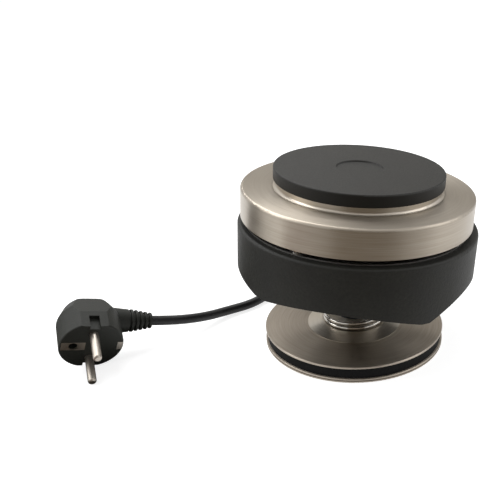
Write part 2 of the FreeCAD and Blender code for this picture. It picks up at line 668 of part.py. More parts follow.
def make_bottom_cover():
    """Bottom cover with the upper half of the ball's socket and the lower jaw of the cord clamp."""
    rim = HOUSING_RADIUS - HOUSING_WALL - COVER_CLEARANCE
    plate = rod(rim, COVER_BOTTOM, COVER_TOP, HOUSING_SHIFT)
    hub = rod(HUB_RADIUS, BALL_CENTRE_Z, BALL_CENTRE_Z + HUB_HEIGHT)
    jaw_size = (CORD_CLAMP_WIDTH, CORD_CLAMP_DEPTH, GLAND_Z - COVER_TOP)
    jaw = block(jaw_size, 0, CORD_CLAMP_Y, COVER_TOP)
    cover = plate.fuse([hub, jaw])
    socket = Part.makeSphere(BALL_RADIUS + SOCKET_CLEARANCE, PIVOT)
    cuts = [socket, inner_cord_shape(GLAND_END_Y)]
    cuts += [rod(M3_RADIUS, COVER_BOTTOM, COVER_TOP, x, y) for x, y in boss_places()]
    hub_top = BALL_CENTRE_Z + HUB_HEIGHT
    cuts += [rod(M3_RADIUS, BALL_CENTRE_Z, hub_top, x, y) for x, y in socket_screw_places()]
    cuts += [rod(M3_RADIUS, GLAND_Z - JAW_SCREW_DEPTH, GLAND_Z, x, CORD_CLAMP_Y)
             for x in (-CORD_CLAMP_SCREW_OFFSET, CORD_CLAMP_SCREW_OFFSET)]
    return cover.cut(cuts).removeSplitter()


def make_socket_ring():
    """Lower half of the ball's socket, screwed to the cover's hub from below."""
    bottom = BALL_CENTRE_Z - SOCKET_RING_HEIGHT
    ring = rod(HUB_RADIUS, bottom, BALL_CENTRE_Z)
    cuts = [Part.makeSphere(BALL_RADIUS + SOCKET_CLEARANCE, PIVOT)]
    for x, y in socket_screw_places():
        cuts.append(rod(M3_RADIUS, bottom, BALL_CENTRE_Z, x, y))
        cuts.append(rod(M3_HEAD_RADIUS, bottom, bottom + M3_HEAD_HEIGHT, x, y))
    return ring.cut(cuts)


def make_shield():
    shield = rod(SHIELD_RADIUS, HOUSING_TOP_Z, SHIELD_TOP)
    cuts = [rod(M3_RADIUS, HOUSING_TOP_Z, SHIELD_TOP, x, y) for x, y in pillar_places()]
    cuts.append(rod(BUSH_HOLE_RADIUS, HOUSING_TOP_Z, SHIELD_TOP, *BUSH_PLACE))
    cuts.append(rod(EARTH_SCREW_RADIUS, HOUSING_TOP_Z, SHIELD_TOP, *EARTH_SCREW_PLACE))
    return shield.cut(cuts)


def make_cap():
    """Spun steel cap: flat top with a round opening, rolled edge and straight skirt."""
    outer = rod(CAP_RADIUS, CAP_BOTTOM_Z, CAP_TOP_Z)
    outer = round_edges_at(outer, CAP_RADIUS, CAP_EDGE_ROUND, [CAP_TOP_Z])
    inside = CAP_RADIUS - CAP_SHEET
    inner = rod(inside, CAP_BOTTOM_Z, CAP_INSIDE_Z)
    inner = round_edges_at(inner, inside, CAP_EDGE_ROUND - CAP_SHEET, [CAP_INSIDE_Z])
    return outer.cut([inner, rod(CAP_OPENING_RADIUS, CAP_BOTTOM_Z, CAP_TOP_Z)])


def make_spill_ring():
    """Bright ring between cap and plate, drawn in above its foot."""
    foot_top = CAP_TOP_Z + SPILL_FOOT_HEIGHT
    corner = vec(SPILL_FOOT_RADIUS, 0, CAP_TOP_Z)
    neck = vec(SPILL_NECK_RADIUS, 0, foot_top)
    middle_radius = SPILL_NECK_RADIUS + (SPILL_FOOT_RADIUS - SPILL_NECK_RADIUS) * SPILL_FLANK_SAG
    middle = vec(middle_radius, 0, CAP_TOP_Z + SPILL_FOOT_HEIGHT * SPILL_FLANK_SAG)
    top_outer = vec(SPILL_NECK_RADIUS, 0, PLATE_BOTTOM)
    top_inner = vec(CAP_OPENING_RADIUS, 0, PLATE_BOTTOM)
    foot_inner = vec(CAP_OPENING_RADIUS, 0, CAP_TOP_Z)
    flank = Part.Arc(corner, middle, neck).toShape()
    rest = [Part.LineSegment(a, b).toShape() for a, b in
            ((neck, top_outer), (top_outer, top_inner), (top_inner, foot_inner), (foot_inner, corner))]
    return Part.Face(Part.Wire([flank] + rest)).revolve(ORIGIN, UP, 360)


def make_hot_plate():
    """Cast plate: rounded rim, shallow central recess, skirt and boss below."""
    radius = PLATE_DIAMETER / 2
    recess = PLATE_RECESS_DIAMETER / 2
    disc = rod(radius, PLATE_BOTTOM, PLATE_TOP)
    disc = round_edges_at(disc, radius, PLATE_EDGE_ROUND, [PLATE_BOTTOM, PLATE_TOP])
    floor = PLATE_TOP - PLATE_RECESS_DEPTH
    hollow = turned([(0, floor), (recess - PLATE_RECESS_BEVEL, floor), (recess, PLATE_TOP), (0, PLATE_TOP)])
    skirt = tube(PLATE_SKIRT_OUTER, PLATE_SKIRT_OUTER - PLATE_SKIRT_WALL, SKIRT_BOTTOM, PLATE_BOTTOM)
    boss = rod(PLATE_BOSS_RADIUS, SKIRT_BOTTOM, PLATE_BOTTOM)
    stud_hole = rod(CLAMP_STUD_RADIUS, SKIRT_BOTTOM, SKIRT_BOTTOM + CLAMP_STUD_DEPTH)
    return disc.cut(hollow).fuse([skirt, boss]).cut(stud_hole).removeSplitter()


def terminal_pin_places():
    """The element's two ends lie either side of its open angle, at the back."""
    half_open = ELEMENT_OPEN_ANGLE / 2
    return [polar(ELEMENT_CIRCLE, 180.0 - half_open), polar(ELEMENT_CIRCLE, 180.0 + half_open)]


def make_element():
    """Open ring of sheathed heating tube with two terminal pins."""
    start = 90.0 + ELEMENT_OPEN_ANGLE / 2
    ring = Part.makeTorus(ELEMENT_CIRCLE, ELEMENT_TUBE_RADIUS, vec(0, 0, ELEMENT_Z), UP, 0, 360,
                          360 - ELEMENT_OPEN_ANGLE)
    ring = ring.rotated(ORIGIN, UP, start)
    pins = [rod(TERMINAL_PIN_RADIUS, ELEMENT_Z - TERMINAL_PIN_LENGTH, ELEMENT_Z, x, y)
            for x, y in terminal_pin_places()]
    ends = [Part.makeSphere(ELEMENT_TUBE_RADIUS, vec(x, y, ELEMENT_Z)) for x, y in terminal_pin_places()]
    return ring.fuse(pins + ends)


def pin_holes(bottom, top):
    radius = TERMINAL_PIN_RADIUS + PIN_HOLE_CLEARANCE
    return [rod(radius, bottom, top, x, y) for x, y in terminal_pin_places()]


def make_plate_fixings():
    """Insulation and cover below the element, and the stud, bar, washer and nut that pull the plate down."""
    insulation_top = SKIRT_BOTTOM + INSULATION_THICKNESS
    insulation = tube(PLATE_SKIRT_OUTER - PLATE_SKIRT_WALL - INSULATION_CLEARANCE,
                      PLATE_BOSS_RADIUS + INSULATION_CLEARANCE, SKIRT_BOTTOM, insulation_top)
    insulation = insulation.cut(pin_holes(SKIRT_BOTTOM, PLATE_BOTTOM))
    cover = tube(PLATE_SKIRT_OUTER, CLAMP_STUD_RADIUS, COVER_PLATE_BOTTOM, SKIRT_BOTTOM)
    cover = cover.cut(pin_holes(COVER_PLATE_BOTTOM, SKIRT_BOTTOM))
    nut_bottom = CLAMP_BAR_BOTTOM - CLAMP_WASHER_THICKNESS - CLAMP_NUT_HEIGHT
    stud = rod(CLAMP_STUD_RADIUS, nut_bottom - CLAMP_STUD_TIP, SKIRT_BOTTOM + CLAMP_STUD_DEPTH)
    strip = block((CLAMP_BAR_LENGTH, CLAMP_BAR_WIDTH, CLAMP_BAR_THICKNESS), 0, 0, CLAMP_BAR_BOTTOM)
    foot_size = (CLAMP_FOOT_LENGTH, CLAMP_BAR_WIDTH, CLAMP_FOOT_HEIGHT)
    reach = (CLAMP_BAR_LENGTH - CLAMP_FOOT_LENGTH) / 2
    feet = [block(foot_size, side * reach, 0, CLAMP_BAR_TOP) for side in (-1, 1)]
    bar = strip.fuse(feet).cut(rod(CLAMP_STUD_RADIUS, CLAMP_BAR_BOTTOM, CLAMP_BAR_TOP)).removeSplitter()
    spacer = tube(CLAMP_WASHER_RADIUS, CLAMP_STUD_RADIUS, CLAMP_BAR_TOP, COVER_PLATE_BOTTOM)
    washer_bottom = CLAMP_BAR_BOTTOM - CLAMP_WASHER_THICKNESS
    return {
        "insulation_disc": insulation,
        "plate_cover": cover,
        "clamp_stud": stud,
        "clamp_bar": bar,
        "clamp_spacer": spacer,
        "clamp_washer": tube(CLAMP_WASHER_RADIUS, CLAMP_STUD_RADIUS, washer_bottom, CLAMP_BAR_BOTTOM),
        "clamp_nut": nut(CLAMP_NUT_FLATS, CLAMP_STUD_RADIUS, nut_bottom, washer_bottom),
    }


def limiter_tab_places():
    x, y = polar(LIMITER_CIRCLE, LIMITER_AZIMUTH)
    return [(x - LIMITER_TAB_SPACING / 2, y), (x + LIMITER_TAB_SPACING / 2, y)]


def make_limiter():
    """Temperature limiter pressed on the plate's cover, with two blade terminals."""
    x, y = polar(LIMITER_CIRCLE, LIMITER_AZIMUTH)
    bottom = COVER_PLATE_BOTTOM - LIMITER_HEIGHT
    body = rod(LIMITER_RADIUS, bottom, COVER_PLATE_BOTTOM, x, y)
    width, thickness, length = LIMITER_TAB
    blade = (thickness, width, length)
    tabs = [block(blade, tab_x, tab_y, bottom - length) for tab_x, tab_y in limiter_tab_places()]
    return body.fuse(tabs)


def make_terminal_block():
    width, depth, height = BLOCK_SIZE
    body = block(BLOCK_SIZE, 0, BLOCK_CENTRE_Y, COVER_TOP)
    wells = []
    screws = []
    for pole in range(BLOCK_POLES):
        x = (pole - (BLOCK_POLES - 1) / 2) * BLOCK_PITCH
        for row in BLOCK_SCREW_ROWS:
            top = COVER_TOP + height
            wells.append(rod(BLOCK_SCREW_RADIUS, top - BLOCK_SCREW_HEIGHT, top, x, BLOCK_CENTRE_Y + row))
            screw = rod(BLOCK_SCREW_RADIUS, top - BLOCK_SCREW_HEIGHT, top, x, BLOCK_CENTRE_Y + row)
            slot_size = (BLOCK_SCREW_RADIUS * 2, SCREW_SLOT, SCREW_SLOT)
            slot = block(slot_size, x, BLOCK_CENTRE_Y + row, top - SCREW_SLOT)
            screws.append(screw.cut(slot))
    return {"terminal_block": body.cut(wells), "terminal_screws": Part.makeCompound(screws)}


def make_bush():
    """Ceramic bush that takes the wires through the heat shield."""
    x, y = BUSH_PLACE
    bottom = HOUSING_TOP_Z - BUSH_FLANGE_THICKNESS
    top = SHIELD_TOP + BUSH_FLANGE_THICKNESS
    flange = rod(BUSH_FLANGE_RADIUS, SHIELD_TOP, top, x, y)
    body = rod(BUSH_HOLE_RADIUS, bottom, SHIELD_TOP, x, y)
    bore = rod(BUSH_BORE_RADIUS, bottom, top, x, y)
    return flange.fuse(body).cut(bore).removeSplitter()


def make_wires():
    """Inner wiring between terminal block, thermal fuse, limiter, element and earth screw."""
    block_front = BLOCK_CENTRE_Y - BLOCK_SIZE[1] / 2
    entry_z = COVER_TOP + BLOCK_SIZE[2] * WIRE_ENTRY_SHARE
    bush_x, bush_y = BUSH_PLACE
    step = WIRE_RADIUS + WIRE_SPACING / 2
    above = SHIELD_TOP + BUSH_FLANGE_THICKNESS + WIRE_RISE
    fuse_z = COVER_PLATE_BOTTOM - FUSE_SIZE[2] / 2
    fuse_x, fuse_y = FUSE_PLACE
    fuse_left = fuse_x - FUSE_SIZE[0] / 2
    fuse_right = fuse_x + FUSE_SIZE[0] / 2
    tab_z = COVER_PLATE_BOTTOM - LIMITER_HEIGHT - LIMITER_TAB[2] / 2
    tabs = limiter_tab_places()
    tab_left = tabs[0][0] - LIMITER_TAB[1] / 2
    tab_right = tabs[1][0] + LIMITER_TAB[1] / 2
    tab_y = tabs[0][1]
    pins = terminal_pin_places()
    pin_bottom = ELEMENT_Z - TERMINAL_PIN_LENGTH
    low = pin_bottom - WIRE_HANG
    earth_x, earth_y = EARTH_SCREW_PLACE
    earth_z = HOUSING_TOP_Z - EARTH_HEAD_HEIGHT
    routes = {
        "live_wire": [(-BLOCK_PITCH, block_front, entry_z), (-BLOCK_PITCH, block_front - 8, entry_z),
                      (bush_x - step, bush_y + 6, entry_z + 1), (bush_x - step, bush_y, entry_z + 9),
                      (bush_x - step, bush_y, above + 2),
                      (bush_x + 6, fuse_y, fuse_z), (fuse_left, fuse_y, fuse_z)],
        "fuse_wire": [(fuse_right, fuse_y, fuse_z), (fuse_right + 7, fuse_y, fuse_z),
                      (fuse_right + 10, fuse_y + 13, tab_z + 3), (tab_left - 11, tab_y - 8, tab_z),
                      (tab_left - 9, tab_y, tab_z), (tab_left, tab_y, tab_z)],
        "link_wire": [(tab_right, tab_y, tab_z), (tab_right + 9, tab_y, tab_z),
                      (tab_right + 8, tab_y + 16, tab_z - 1), (tab_right - 10, tab_y + 20, low),
                      (pins[0][0], pins[0][1], low - 1), (pins[0][0], pins[0][1], pin_bottom)],
        "neutral_wire": [(0.0, block_front, entry_z), (0.0, block_front - 7, entry_z),
                         (bush_x + step, bush_y - 1, entry_z + 2), (bush_x + step, bush_y - 1, above - 1),
                         (bush_x + 2, bush_y + 18, above), (pins[1][0], pins[1][1], low),
                         (pins[1][0], pins[1][1], pin_bottom)],
        "earth_wire": [(BLOCK_PITCH, block_front, entry_z), (BLOCK_PITCH, block_front - 7, entry_z),
                       (earth_x, earth_y, entry_z + 2), (earth_x, earth_y, earth_z)],
    }
    return {name: routed_tube([vec(*point) for point in route], WIRE_RADIUS, name)
            for name, route in routes.items()}


def inner_cord_shape(outer_end):
    length = outer_end - INNER_CORD_END_Y
    return Part.makeCylinder(CORD_RADIUS, length, vec(0, INNER_CORD_END_Y, GLAND_Z), SIDEWAYS)


def make_gland():
    """Bend relief: ring inside the wall, body through it, flange and tapered tail outside."""
    wall = housing_back_y()
    axis = SIDEWAYS
    ring_start = wall - HOUSING_WALL - GLAND_FLANGE_THICKNESS - GLAND_RING_GAP
    inner_ring = Part.makeCylinder(GLAND_FLANGE_RADIUS, GLAND_FLANGE_THICKNESS,
                                   vec(0, ring_start, GLAND_Z), axis)
    body = Part.makeCylinder(GLAND_BODY_RADIUS, wall - GLAND_INNER_Y, vec(0, GLAND_INNER_Y, GLAND_Z), axis)
    flange_start = wall + GLAND_WALL_GAP
    flange = Part.makeCylinder(GLAND_FLANGE_RADIUS, GLAND_FLANGE_THICKNESS,
                               vec(0, flange_start, GLAND_Z), axis)
    link = Part.makeCylinder(GLAND_BODY_RADIUS, flange_start - wall, vec(0, wall, GLAND_Z), axis)
    tail_start = flange_start + GLAND_FLANGE_THICKNESS
    tail = Part.makeCone(GLAND_BODY_RADIUS, GLAND_TAIL_RADIUS, GLAND_END_Y - tail_start,
                         vec(0, tail_start, GLAND_Z), axis)
    return body.fuse([inner_ring, link, flange, tail]).cut(inner_cord_shape(GLAND_END_Y)).removeSplitter()


def housing_back_y():
    """How far back the housing's wall reaches on the head's centre line."""
    return math.sqrt(HOUSING_RADIUS ** 2 - HOUSING_SHIFT ** 2)


def make_cord_clamp():
    size = (CORD_CLAMP_WIDTH, CORD_CLAMP_DEPTH, CORD_RADIUS + CORD_CLAMP_THICKNESS)
    saddle = block(size, 0, CORD_CLAMP_Y, GLAND_Z)
    top = GLAND_Z + size[2]
    places = (-CORD_CLAMP_SCREW_OFFSET, CORD_CLAMP_SCREW_OFFSET)
    holes = [rod(M3_RADIUS, GLAND_Z, top, x, CORD_CLAMP_Y) for x in places]
    saddle = saddle.cut(holes + [inner_cord_shape(GLAND_END_Y)])
    screws = []
    for x in places:
        shank = rod(M3_RADIUS, GLAND_Z - JAW_SCREW_DEPTH, top, x, CORD_CLAMP_Y)
        screws.append(shank.fuse(rod(M3_HEAD_RADIUS, top, top + M3_HEAD_HEIGHT, x, CORD_CLAMP_Y)))
    return {"cord_clamp": saddle, "clamp_screws": Part.makeCompound(screws)}


def make_fasteners():
    ring_bottom = BALL_CENTRE_Z - SOCKET_RING_HEIGHT
    cover_screws = [pan_screw(x, y, COVER_BOTTOM, M3_RADIUS, M3_HEAD_RADIUS, M3_HEAD_HEIGHT, SCREW_LENGTH)
                    for x, y in boss_places()]
    socket_length = BALL_CENTRE_Z + HUB_HEIGHT - ring_bottom - M3_HEAD_HEIGHT
    socket_screws = [pan_screw(x, y, ring_bottom + M3_HEAD_HEIGHT, M3_RADIUS, M3_HEAD_RADIUS, M3_HEAD_HEIGHT,
                               socket_length) for x, y in socket_screw_places()]
    ledge_bottom = HOUSING_TOP_Z - LEDGE_THICKNESS
    pillar_screws = [pan_screw(x, y, ledge_bottom, M3_RADIUS, M3_HEAD_RADIUS, M3_HEAD_HEIGHT, SCREW_LENGTH)
                     for x, y in pillar_places()]
    pillars = []
    for x, y in pillar_places():
        pillar = rod(PILLAR_RADIUS, SHIELD_TOP, CAP_INSIDE_Z, x, y)
        pillars.append(pillar.cut(rod(M3_RADIUS, SHIELD_TOP, ledge_bottom + SCREW_LENGTH, x, y)))
    earth = pan_screw(*EARTH_SCREW_PLACE, HOUSING_TOP_Z, EARTH_SCREW_RADIUS, EARTH_HEAD_RADIUS,
                      EARTH_HEAD_HEIGHT, EARTH_SCREW_LENGTH)
    return {
        "cover_screws": Part.makeCompound(cover_screws),
        "socket_screws": Part.makeCompound(socket_screws),
        "pillar_screws": Part.makeCompound(pillar_screws),
        "cap_pillars": Part.makeCompound(pillars),
        "earth_screw": earth,
    }


def make_head():
    """Every piece of the head, built upright."""
    pieces = {
        "housing": make_housing(),
        "bottom_cover": make_bottom_cover(),
        "socket_ring": make_socket_ring(),
        "heat_shield": make_shield(),
        "cap": make_cap(),
        "spill_ring": make_spill_ring(),
        "hot_plate": make_hot_plate(),
        "heating_element": make_element(),
        "temperature_limiter": make_limiter(),
        "thermal_fuse": block(FUSE_SIZE, *FUSE_PLACE, COVER_PLATE_BOTTOM - FUSE_SIZE[2]),
        "wire_bush": make_bush(),
        "cord_gland": make_gland(),
        "inner_cord": inner_cord_shape(GLAND_END_Y),
    }
    for make in (make_plate_fixings, make_fasteners, make_terminal_block, make_wires, make_cord_clamp):
        pieces.update(make())
    return pieces


def make_plug():
    """Moulded plug with its ribbed boot, two round pins and earth contacts, built with the face at y = 0."""
    depth = PLUG_DEPTH
    profile = [(0, 0), (PLUG_FACE_RADIUS, 0), (PLUG_FACE_RADIUS, PLUG_SHOULDER), (PLUG_BACK_RADIUS, depth),
               (0, depth)]
    body = turned(profile)
    body = round_edges_at(body, PLUG_FACE_RADIUS, PLUG_EDGE_ROUND, [0])
    body = round_edges_at(body, PLUG_FACE_RADIUS, PLUG_EDGE_ROUND * 4, [PLUG_SHOULDER])
    body = round_edges_at(body, PLUG_BACK_RADIUS, PLUG_EDGE_ROUND * 3, [depth])
    body = body.rotated(ORIGIN, vec(1, 0, 0), -90)
    span = 2 * PLUG_FACE_RADIUS
    body = body.common(Part.makeBox(span, depth, 2 * PLUG_FLAT_HALF, vec(-span / 2, 0, -PLUG_FLAT_HALF)))
    for side in (-1, 1):
        facet = [(PLUG_FACET_START, PLUG_FLAT_HALF), (depth, PLUG_BACK_HALF), (depth, span),
                 (PLUG_FACET_START, span)]
        corners = [vec(-span / 2, y, side * z) for y, z in facet]
        wedge = Part.Face(Part.makePolygon(corners + corners[:1])).extrude(vec(span, 0, 0))
        body = body.cut(wedge)
        middle = side * PLUG_FLAT_HALF
        groove = Part.makeBox(PLUG_GROOVE_WIDTH, PLUG_GROOVE_LENGTH, 2 * PLUG_GROOVE_DEPTH,
                              vec(-PLUG_GROOVE_WIDTH / 2, 0, middle - PLUG_GROOVE_DEPTH))
        body = body.cut(groove)
    axis = vec(1, 0, 0)
    arm = Part.makeCone(BOOT_ROOT_RADIUS, BOOT_NECK_RADIUS, BOOT_RIBS_START - BOOT_START,
                        vec(BOOT_START, BOOT_OFFSET, 0), axis)
    pitch = (BOOT_END - BOOT_RIBS_START) / BOOT_RIB_COUNT
    ribs = []
    for index in range(BOOT_RIB_COUNT):
        start = BOOT_RIBS_START + pitch * index
        share = index / (BOOT_RIB_COUNT - 1)
        radius = BOOT_NECK_RADIUS + (BOOT_TIP_RADIUS - BOOT_NECK_RADIUS) * share
        groove = Part.makeCylinder(radius - BOOT_GROOVE_DEPTH, pitch * 0.4, vec(start, BOOT_OFFSET, 0), axis)
        rib = Part.makeCylinder(radius, pitch * 0.6, vec(start + pitch * 0.4, BOOT_OFFSET, 0), axis)
        rims = [edge for edge in rib.Edges if isinstance(edge.Curve, Part.Circle)]
        ribs += [groove, rib.makeFillet(pitch * 0.2, rims)]
    body = body.fuse([arm] + ribs)
    pins = []
    for side in (-1, 1):
        z = side * PLUG_PIN_SPACING / 2
        whole = PLUG_PIN_SEAT + PLUG_PIN_LENGTH
        pin = Part.makeCylinder(PLUG_PIN_RADIUS, whole, vec(0, PLUG_PIN_SEAT, z), vec(0, -1, 0))
        tip = [e for e in pin.Edges if isinstance(e.Curve, Part.Circle) and e.Curve.Center.y < -1]
        pins.append(pin.makeFillet(PLUG_PIN_RADIUS * 0.6, tip))
    width, height, thickness = EARTH_PLATE
    hole = Part.makeCylinder(EARTH_HOLE_RADIUS, EARTH_HOLE_DEPTH, vec(-EARTH_HOLE_OFFSET, 0, 0), vec(0, 1, 0))
    plate = Part.makeBox(width, thickness, height, vec(-EARTH_HOLE_OFFSET - width / 2, 0, -height / 2))
    clip_depth, clip_height, clip_length = EARTH_CLIP
    clip_start = PLUG_FACE_RADIUS - clip_depth - EARTH_CLIP_INSET
    clip = Part.makeBox(clip_depth, clip_length, clip_height, vec(clip_start, 0, -clip_height / 2))
    body = body.cut(pins + [hole, plate, clip]).removeSplitter()
    return {
        "plug_body": body,
        "plug_pins": Part.makeCompound(pins),
        "earth_socket": plate.cut(hole),
        "earth_clip": clip,
    }


def make_cord():
    """The cord outside the housing: lead to the coil, tied coil, and the free stretch to the plug."""
    last = 2 * math.pi * COIL_TURNS
    coil_wire = wound_wire(coil_curve, 0.0, last, math.pi / 2, CORD_DIAMETER, CORD_DIAMETER)
    coil_start = coil_curve(0.0) - curve_tangent(coil_curve, 0.0) * CORD_DIAMETER
    coil_end = coil_curve(last) + curve_tangent(coil_curve, last) * CORD_DIAMETER
    coil = round_bar(coil_wire, CORD_RADIUS, coil_start, curve_tangent(coil_curve, 0.0))
    gap = least_self_gap(coil_curve, 0.0, last, CORD_DIAMETER, math.pi)
    print("cord_coil least gap to itself", round(gap, 2), "length", round(coil_wire.Length, 1),
          "volume ratio",
          round(coil.Volume / (math.pi * CORD_RADIUS ** 2 * coil_wire.Length), 4))
    exit_point = lean_point(vec(0, GLAND_END_Y, GLAND_Z)) + SIDEWAYS * CORD_JOIN_GAP
    entry = coil_start - curve_tangent(coil_curve, 0.0) * ENTRY_RUN
    leave = coil_end + curve_tangent(coil_curve, last) * LEAVE_RUN
    lead_points = [exit_point, exit_point + SIDEWAYS * EXIT_RUN]
    drop = exit_point.z - entry.z
    lead_points += [vec(x, GLAND_END_Y + run, entry.z + drop * share) for x, run, share in LEAD_ROUTE]
    lead_points += [entry, coil_start]
    boot_end = plug_point(BOOT_END, BOOT_OFFSET, 0)
    boot_ahead = plug_point(BOOT_END + BOOT_RUN, BOOT_OFFSET, 0)
    lying = CORD_RADIUS + FLOOR_GAP
    free_points = [coil_end, leave] + [vec(x, y, lying + lift) for x, y, lift in FREE_ROUTE]
    free_points += [boot_ahead, boot_end]
    lead = routed_tube(lead_points, CORD_RADIUS, "cord_lead")
    free = routed_tube(free_points, CORD_RADIUS, "cord_free")
    for label, points in (("lead", lead_points), ("free", free_points)):
        print(label, [tuple(round(value, 2) for value in point) for point in points])
    return {"cord_lead": lead, "cord_coil": coil, "cord_free": free, "coil_tie": make_tie()}


def make_tie():
    """Flat strap round the coil's bundle, square to its turns."""
    angle = math.radians(TIE_AZIMUTH)
    loops = math.floor(COIL_TURNS)
    radii = []
    for turn in range(loops + 1):
        position = angle + 2 * math.pi * turn
        if position < 2 * math.pi * COIL_TURNS:
            place = coil_curve(position)
            radii.append(math.hypot(place.x - COIL_CENTRE[0], place.y - COIL_CENTRE[1]))
    wall = TIE_THICKNESS
    room = CORD_RADIUS + TIE_CLEARANCE
    inner = min(radii) - room
    outer = max(radii) + room
    low = COIL_LOW_Z - CORD_RADIUS - TIE_UNDER_CLEARANCE
    high = COIL_LOW_Z + COIL_LAYER + room
    start = vec(inner - wall, -TIE_WIDTH / 2, low - wall)
    outside = Part.makeBox(outer - inner + 2 * wall, TIE_WIDTH, high - low + 2 * wall, start)
    inside = Part.makeBox(outer - inner, TIE_WIDTH, high - low, vec(inner, -TIE_WIDTH / 2, low))
    strap = outside.cut(inside)
    return strap.rotated(ORIGIN, UP, TIE_AZIMUTH).translated(vec(*COIL_CENTRE, 0))


def main():
    os.makedirs("parts", exist_ok=True)
    nodes = make_base()
    nodes["head_spring"] = make_spring()
    nodes["guide_collar"] = make_collar()
    for name, shape in make_head().items():
        nodes[name] = leaned(shape)
    nodes.update(make_cord())
    for name, shape in make_plug().items():
        nodes[name] = plug_placed(shape)
    for name, shape in nodes.items():
        shape.exportStep("parts/" + name + ".step")
        box = shape.BoundBox
        print(name, "solids", len(shape.Solids), "valid", shape.isValid(), "volume", round(shape.Volume, 1),
              "z", round(box.ZMin, 2), round(box.ZMax, 2))
    print(len(nodes), "nodes")


main()
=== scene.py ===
"""Looks, cord, neck spring and studio for the hot plate burner, laid out as a Blender add-on."""
import math

import bpy
from bpy.props import FloatProperty, PointerProperty, StringProperty
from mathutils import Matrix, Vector


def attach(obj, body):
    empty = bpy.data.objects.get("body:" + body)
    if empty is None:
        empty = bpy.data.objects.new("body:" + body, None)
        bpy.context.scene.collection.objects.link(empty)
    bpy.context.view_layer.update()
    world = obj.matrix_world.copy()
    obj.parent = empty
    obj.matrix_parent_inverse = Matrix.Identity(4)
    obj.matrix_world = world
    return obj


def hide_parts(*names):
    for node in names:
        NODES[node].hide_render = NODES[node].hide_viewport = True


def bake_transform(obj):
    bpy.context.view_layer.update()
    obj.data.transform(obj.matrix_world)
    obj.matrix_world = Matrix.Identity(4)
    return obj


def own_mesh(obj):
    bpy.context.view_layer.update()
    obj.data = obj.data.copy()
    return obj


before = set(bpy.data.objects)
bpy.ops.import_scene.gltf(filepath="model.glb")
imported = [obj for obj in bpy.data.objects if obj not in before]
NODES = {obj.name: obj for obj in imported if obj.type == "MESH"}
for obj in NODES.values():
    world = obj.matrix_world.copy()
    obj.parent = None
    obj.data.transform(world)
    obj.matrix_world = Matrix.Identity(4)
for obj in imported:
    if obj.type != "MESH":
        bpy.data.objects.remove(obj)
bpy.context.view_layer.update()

bl_info = {
    "name": "Hot plate burner",
    "version": (1, 0, 0),
    "blender": (4, 5, 0),
    "location": "3D View > Sidebar > Burner",
    "description": "Finishes, mains cord, neck spring and studio of a sprung electric hot plate burner",
    "category": "Object",
}

MM = 0.001

# Middle of the ball joint in metres, and the head's lean about it at rest.
PIVOT = (0.0, 0.0, 0.05)
HEAD_LEAN = math.radians(3.3)

# Route of the cord in millimetres: from the gland down to the coil, and from the coil to the plug's boot.
CORD_LEAD = [
    (0.83, 96.05, 64.48), (0.83, 111.05, 64.48), (3.5, 126.0, 58.81), (9.5, 139.5, 48.5),
    (16.0, 151.0, 35.01), (22.5, 162.5, 22.48), (27.0, 173.0, 14.39), (29.51, 186.01, 10.5),
    (29.15, 200.0, 10.5)]
CORD_FREE = [
    (-55.15, 200.0, 3.9), (-55.87, 172.01, 3.9), (-52.5, 124.0, 3.05), (-50.0, 95.0, 3.05),
    (-53.0, 66.0, 3.05), (-66.5, 38.0, 3.05), (-84.5, 25.5, 3.3), (-95.0, 13.0, 6.0), (-104.5, 2.5, 9.6),
    (-115.27, -3.75, 11.92), (-125.68, -9.01, 14.76)]

# The coil in millimetres: its middle, the step from one turn to the next, and the rise to its upper layer.
COIL_MIDDLE = Vector((-13.0, 206.0, 3.9))
COIL_STEP = 6.8
COIL_RISE = 6.6
# Radians over which the winding changes from inward to outward.
COIL_TURNOVER = 1.0
# Points of the line in one turn of the coil, and of the spring.
COIL_POINTS = 24
SPRING_POINTS = 36

# A ring wave at this scale has one ring for each unit of radius.
RING_WAVE = 0.314
# A slanting wave at this scale has bands about one unit wide, measured along an axis.
BAND_WAVE = 0.3
# How far a moulding's roughness drifts to both sides, and by what share a metal's does.
MOULDED_DRIFT = 0.05
METAL_DRIFT = 0.25
# Quarter turn of a brushed highlight, which spreads it across the streaks.
ACROSS_STREAKS = 0.25

# Camera as fitted to the photo: its place and nearest sight in metres, its dip below level in degrees.
CAMERA_PLACE = (0.0006, -0.3986, 0.2294)
CAMERA_NEAREST = 0.01
CAMERA_DIP = 23.23
# Its lens and sensor in millimetres, and its shift as a share of the picture's width.
CAMERA_LENS = 51.535
CAMERA_SENSOR = 36.0
CAMERA_SHIFT = -0.21

# The floor's side and height in metres, and the glow that lifts its lit paper to white.
FLOOR_SIDE = 6.0
FLOOR_HEIGHT = -0.0001
PAPER_GLOW = 0.78
# Point in metres that every soft box faces.
LAMP_AIM = Vector((0, 0, 0.06))


def linear(hex_colour):
    """sRGB hex colour as linear RGBA."""
    channels = [int(hex_colour[place:place + 2], 16) / 255 for place in (1, 3, 5)]
    return tuple(c / 12.92 if c <= 0.04045 else ((c + 0.055) / 1.055) ** 2.4 for c in channels) + (1.0,)


def add(tree, kind, inputs=None, **settings):
    """Add one shader node with its settings. An input is a value, or another node's socket to link."""
    node = tree.nodes.new(kind)
    for name, value in settings.items():
        setattr(node, name, value)
    for name, value in (inputs or {}).items():
        if isinstance(value, bpy.types.NodeSocket):
            tree.links.new(value, node.inputs[name])
        else:
            node.inputs[name].default_value = value
    return node


def new_material(name):
    """Material with an empty node tree, that tree, and the output that its finish is built on."""
    material = bpy.data.materials.new(name)
    material.use_nodes = True
    material.node_tree.nodes.clear()
    output = add(material.node_tree, "ShaderNodeOutputMaterial")
    return material, material.node_tree, output


